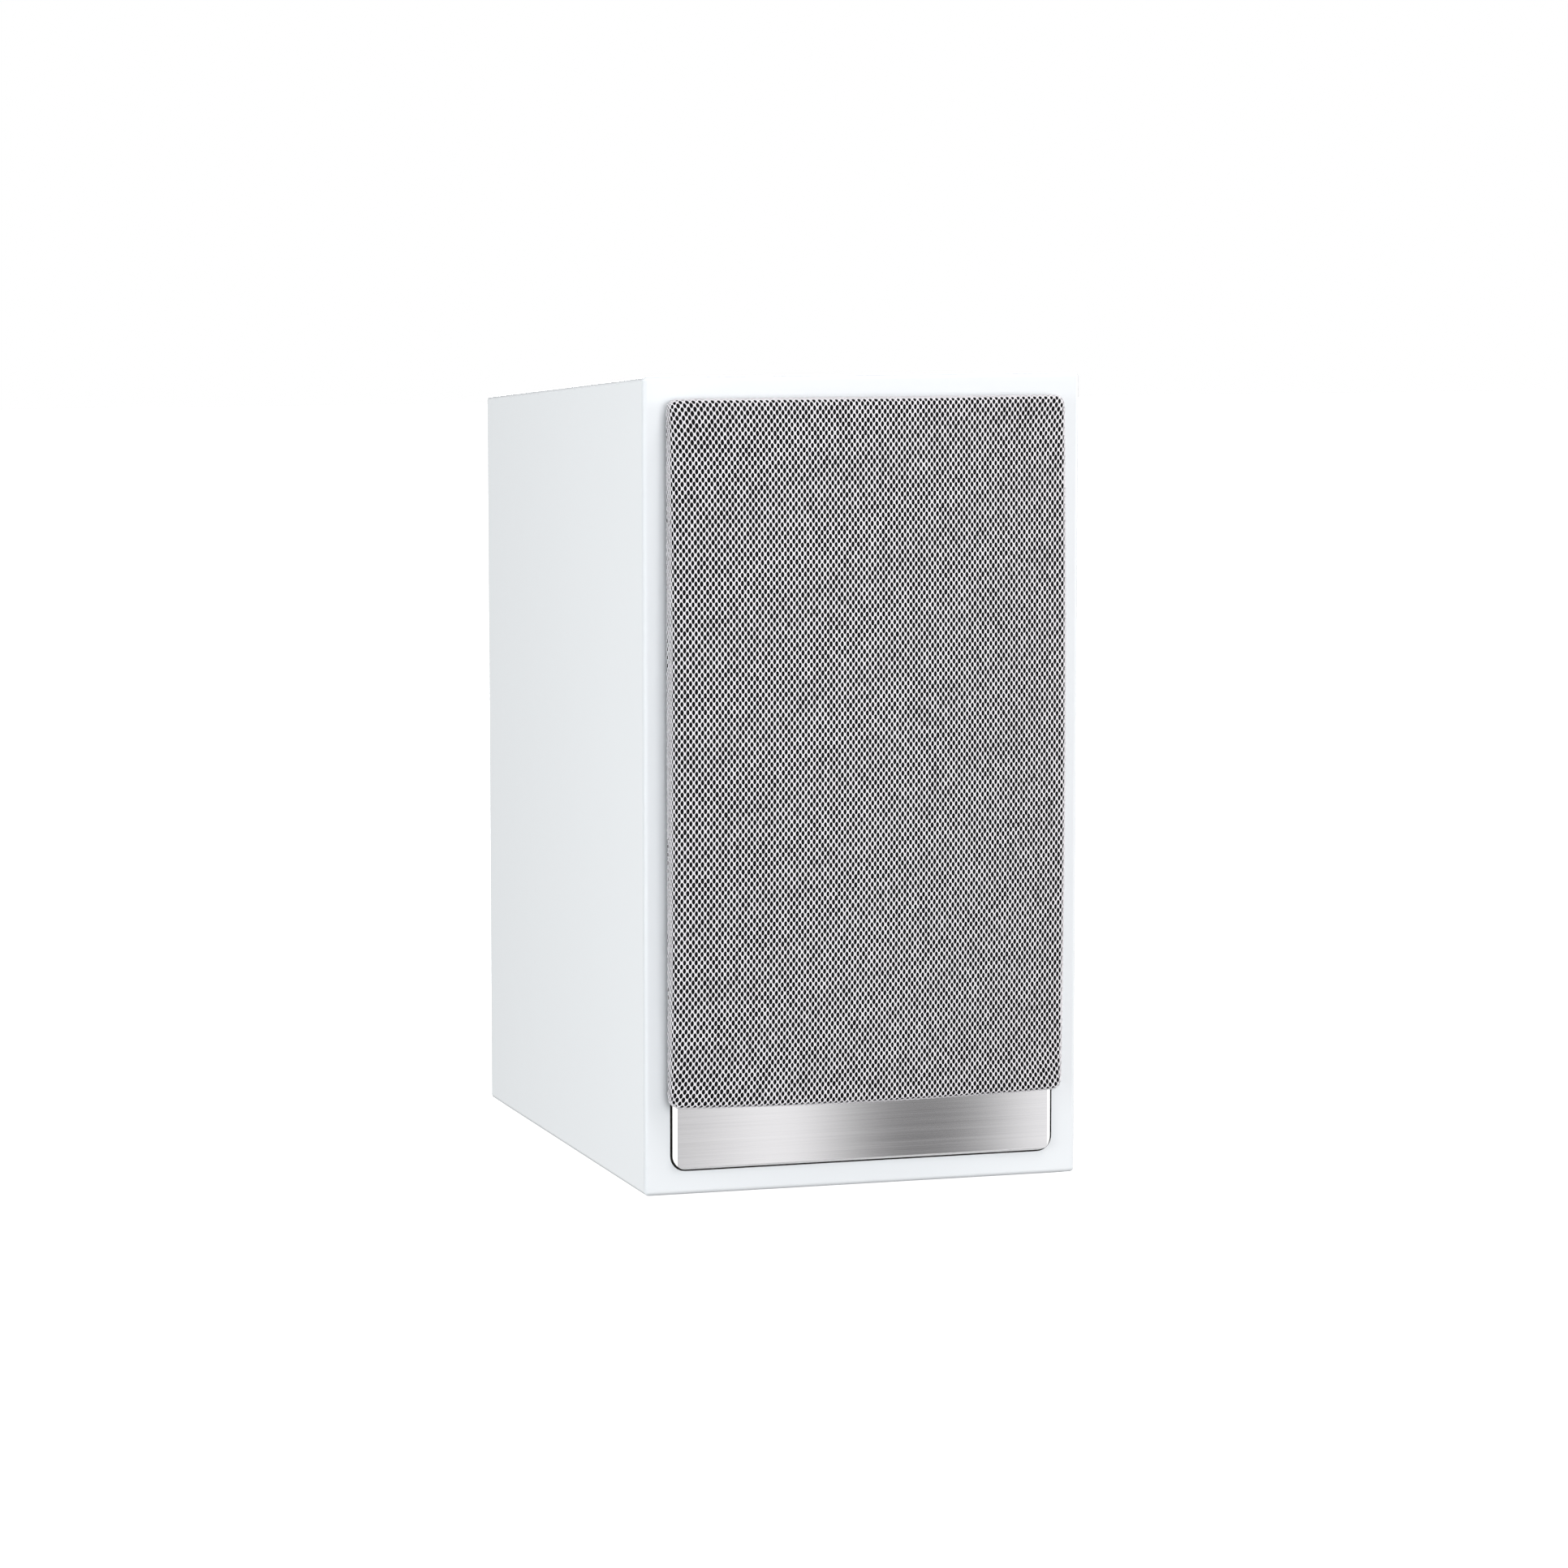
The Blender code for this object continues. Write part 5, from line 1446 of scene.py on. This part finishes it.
def lead(node, points):
    """A jacketed lead along the same route as in the CAD, through points in millimetres."""
    route = smooth_route([Vector(p) * MM for p in points], 72)
    curve = bpy.data.curves.new(node + "_wire", "CURVE")
    curve.dimensions = "3D"
    curve.bevel_depth = LEAD_RADIUS
    curve.bevel_resolution = 4
    curve.use_fill_caps = True
    spline = curve.splines.new("POLY")
    spline.points.add(len(route) - 1)
    for point, place_at in zip(spline.points, route):
        point.co = (*place_at, 1)
    curve.materials.append(FINISHES["lead_jacket"])
    wire = placed(node + "_wire", curve)
    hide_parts(node)
    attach(wire, "cabinet")


def leads():
    """Leads from the terminals to the board and from the board to both drivers."""
    lead("input_lead", [(-9.5, 120.0, 66), (-9.5, 113, 62), (-12, 106, 50), (-14, 98, 36),
                        (-17, 93, 28), (-17, 90, 25)])
    lead("woofer_lead", [(-10, 16, 26), (-20, 8, 40), (-52, -6, 66), (-64, -30, 92),
                         (-66, -52, 112), (-62, -66, 122), (-56, -71, 126)])
    lead("tweeter_lead", [(12, 16, 26), (22, 4, 46), (34, -8, 110), (36, -20, 180),
                          (30, -34, 224), (20, -60, 250), (12, -74, 258), (10, -83, 260)])


# ------------------------------------------------------------------ carried-over nodes
def dress_nodes():
    """Give every CAD node that still shows a finish, and ease its hard edges."""
    for name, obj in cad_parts.items():
        if obj.hide_render:
            continue
        slot = obj.data.materials[0].name
        obj.data.materials.clear()
        obj.data.materials.append(FINISHES[REPAINTED.get(name, slot)])
        soften(obj, EASED_EDGE.get(name, 0.15 * MM), 2, 35)


# ------------------------------------------------------------------ studio
def softbox(name, place, target, size, radiance, colour=(1, 1, 1), in_gloss=True):
    """A rectangular soft light of a given brightness, which the camera doesn't see."""
    data = bpy.data.lights.new(name, "AREA")
    data.shape = "RECTANGLE"
    data.size, data.size_y = size
    data.energy = radiance * math.pi * size[0] * size[1]
    data.color = colour
    obj = placed(name, data)
    obj.location = place
    obj.rotation_euler = (Vector(target) - Vector(place)).to_track_quat("-Z", "Y").to_euler()
    obj.visible_camera = False
    obj.visible_glossy = in_gloss
    return obj


def reflected_strip(name, place, target):
    """A tall strip of light which shows only in reflections."""
    softbox(name, place, target, STRIP_SIZE, STRIP_RADIANCE).visible_diffuse = False


def stage_piece(name, mesh):
    """A piece of the studio, which isn't part of the object and casts no light or shadow on it."""
    obj = placed(name, mesh)
    obj.visible_diffuse = False
    obj.visible_shadow = False
    return obj


def glowing_card(name, levels_along, y):
    """A tall strip across the view, seen only in reflections, whose level varies along X."""
    low = CARD_Z - CARD_HEIGHT / 2
    high = CARD_Z + CARD_HEIGHT / 2
    mesh = bpy.data.meshes.new(name)
    mesh.from_pydata([(x, y, z) for x, _ in levels_along for z in (low, high)], [],
                     [(2 * k, 2 * k + 2, 2 * k + 3, 2 * k + 1) for k in range(len(levels_along) - 1)])
    attribute = mesh.attributes.new("level", "FLOAT", "POINT")
    for k, (_, level) in enumerate(levels_along):
        attribute.data[2 * k].value = level
        attribute.data[2 * k + 1].value = level
    finish = Finish(name, (0.01, 0.01, 0.01), 1.0)
    finish.shader.inputs["Emission Color"].default_value = (1, 1, 1, 1)
    glow = finish.node("Attribute", attribute_name="level")
    finish.feed(finish.shader.inputs["Emission Strength"], glow.outputs["Fac"])
    finish.material.cycles.emission_sampling = "NONE"
    mesh.materials.append(finish.material)
    stage_piece(name, mesh).visible_camera = False


def cards():
    """The card in front makes the plate's bands; the one behind lights up the left side's gloss."""
    glowing_card("front_card", FRONT_LEVELS, FRONT_CARD_Y)
    glowing_card("side_card", SIDE_LEVELS, SIDE_CARD_Y)
    reflected_strip("left_card", (-2.5, -1.9, 0.1), (0, 0, 0.1))
    reflected_strip("right_card", (3, -0.2, 0.1), (0, -0.13, 0.1))


def white_world():
    """White to the camera; a softer light from above than from below; dim in reflections."""
    world = bpy.data.worlds.new("white_studio")
    world.use_nodes = True
    nodes = world.node_tree.nodes
    links = world.node_tree.links
    path = nodes.new("ShaderNodeLightPath")
    direction = nodes.new("ShaderNodeTexCoord")
    height = nodes.new("ShaderNodeSeparateXYZ")
    links.new(direction.outputs["Generated"], height.inputs[0])
    strength = nodes.new("ShaderNodeMapRange")
    links.new(height.outputs["Z"], strength.inputs["Value"])
    strength.inputs["From Min"].default_value = -1
    strength.inputs["To Min"].default_value = WORLD_BELOW
    strength.inputs["To Max"].default_value = WORLD_ABOVE
    value = strength.outputs["Result"]
    for output, level in (("Is Glossy Ray", WORLD_REFLECTED), ("Is Camera Ray", 1.0)):
        step = nodes.new("ShaderNodeMix")
        links.new(path.outputs[output], step.inputs["Factor"])
        links.new(value, step.inputs["A"])
        step.inputs["B"].default_value = level
        value = step.outputs["Result"]
    links.new(value, nodes["Background"].inputs["Strength"])
    nodes["Background"].inputs["Color"].default_value = (1, 1, 1, 1)
    world.cycles.sampling_method = "NONE"    # so that reflections see only the reflected level
    return world


def studio():
    """White surroundings, a high key from the right, and fills all round."""
    scene = bpy.context.scene
    scene.view_settings.view_transform = "Standard"
    scene.world = white_world()
    softbox("key", (1.1, -1.4, 3.3), AIM, SQUARE, 6.5, WARM, in_gloss=False)
    softbox("left_fill", (-1.95, -0.7, 0.3), AIM, (0.9, 1.6), 5.2, COOL, in_gloss=False)
    softbox("front_fill", (0.3, -2.7, 0.7), AIM, SQUARE, 5.6, NEUTRAL, in_gloss=False)
    softbox("right_fill", (2.1, -1.1, 0.8), AIM, SQUARE, 3.3, WARM)
    softbox("rear_fill", (0.8, 2.4, 1.2), REAR_AIM, (1.6, 1.2), 7.4)
    cards()


def floor():
    """Plain white floor."""
    white = Finish("floor_white", (0.9, 0.9, 0.9), 0.7)
    white.shader.inputs["Emission Color"].default_value = (1, 1, 1, 1)
    white.shader.inputs["Emission Strength"].default_value = 0.9
    mesh = bpy.data.meshes.new("floor")
    mesh.from_pydata([(x, y, 0) for x, y in corners_of(FLOOR_REACH, FLOOR_REACH)], [],
                     [(0, 1, 2, 3)])
    mesh.materials.append(white.material)
    stage_piece("floor", mesh).visible_glossy = False


def camera():
    """Camera at the photograph's angle."""
    data = bpy.data.cameras.new("camera")
    data.lens = CAMERA_LENS
    data.sensor_width = 36
    obj = placed("camera", data)
    obj.location = CAMERA_PLACE
    obj.rotation_euler = (math.radians(CAMERA_TILT), 0, math.radians(CAMERA_TURN))
    bpy.context.scene.camera = obj


camera()
studio()
floor()
cabinet()
feet()
front_plate()
woofer_basket()
surround()
spider()
cone()
dust_cap()
screws()
tweeter_faceplate()
diaphragm()
port()
terminal_plate()
terminal_screws()
terminal_signs()
binding_posts()
washers()
knobs()
grille_frame()
grille_net()
shade_scrim()
wadding_pad()
leads()
dress_nodes()
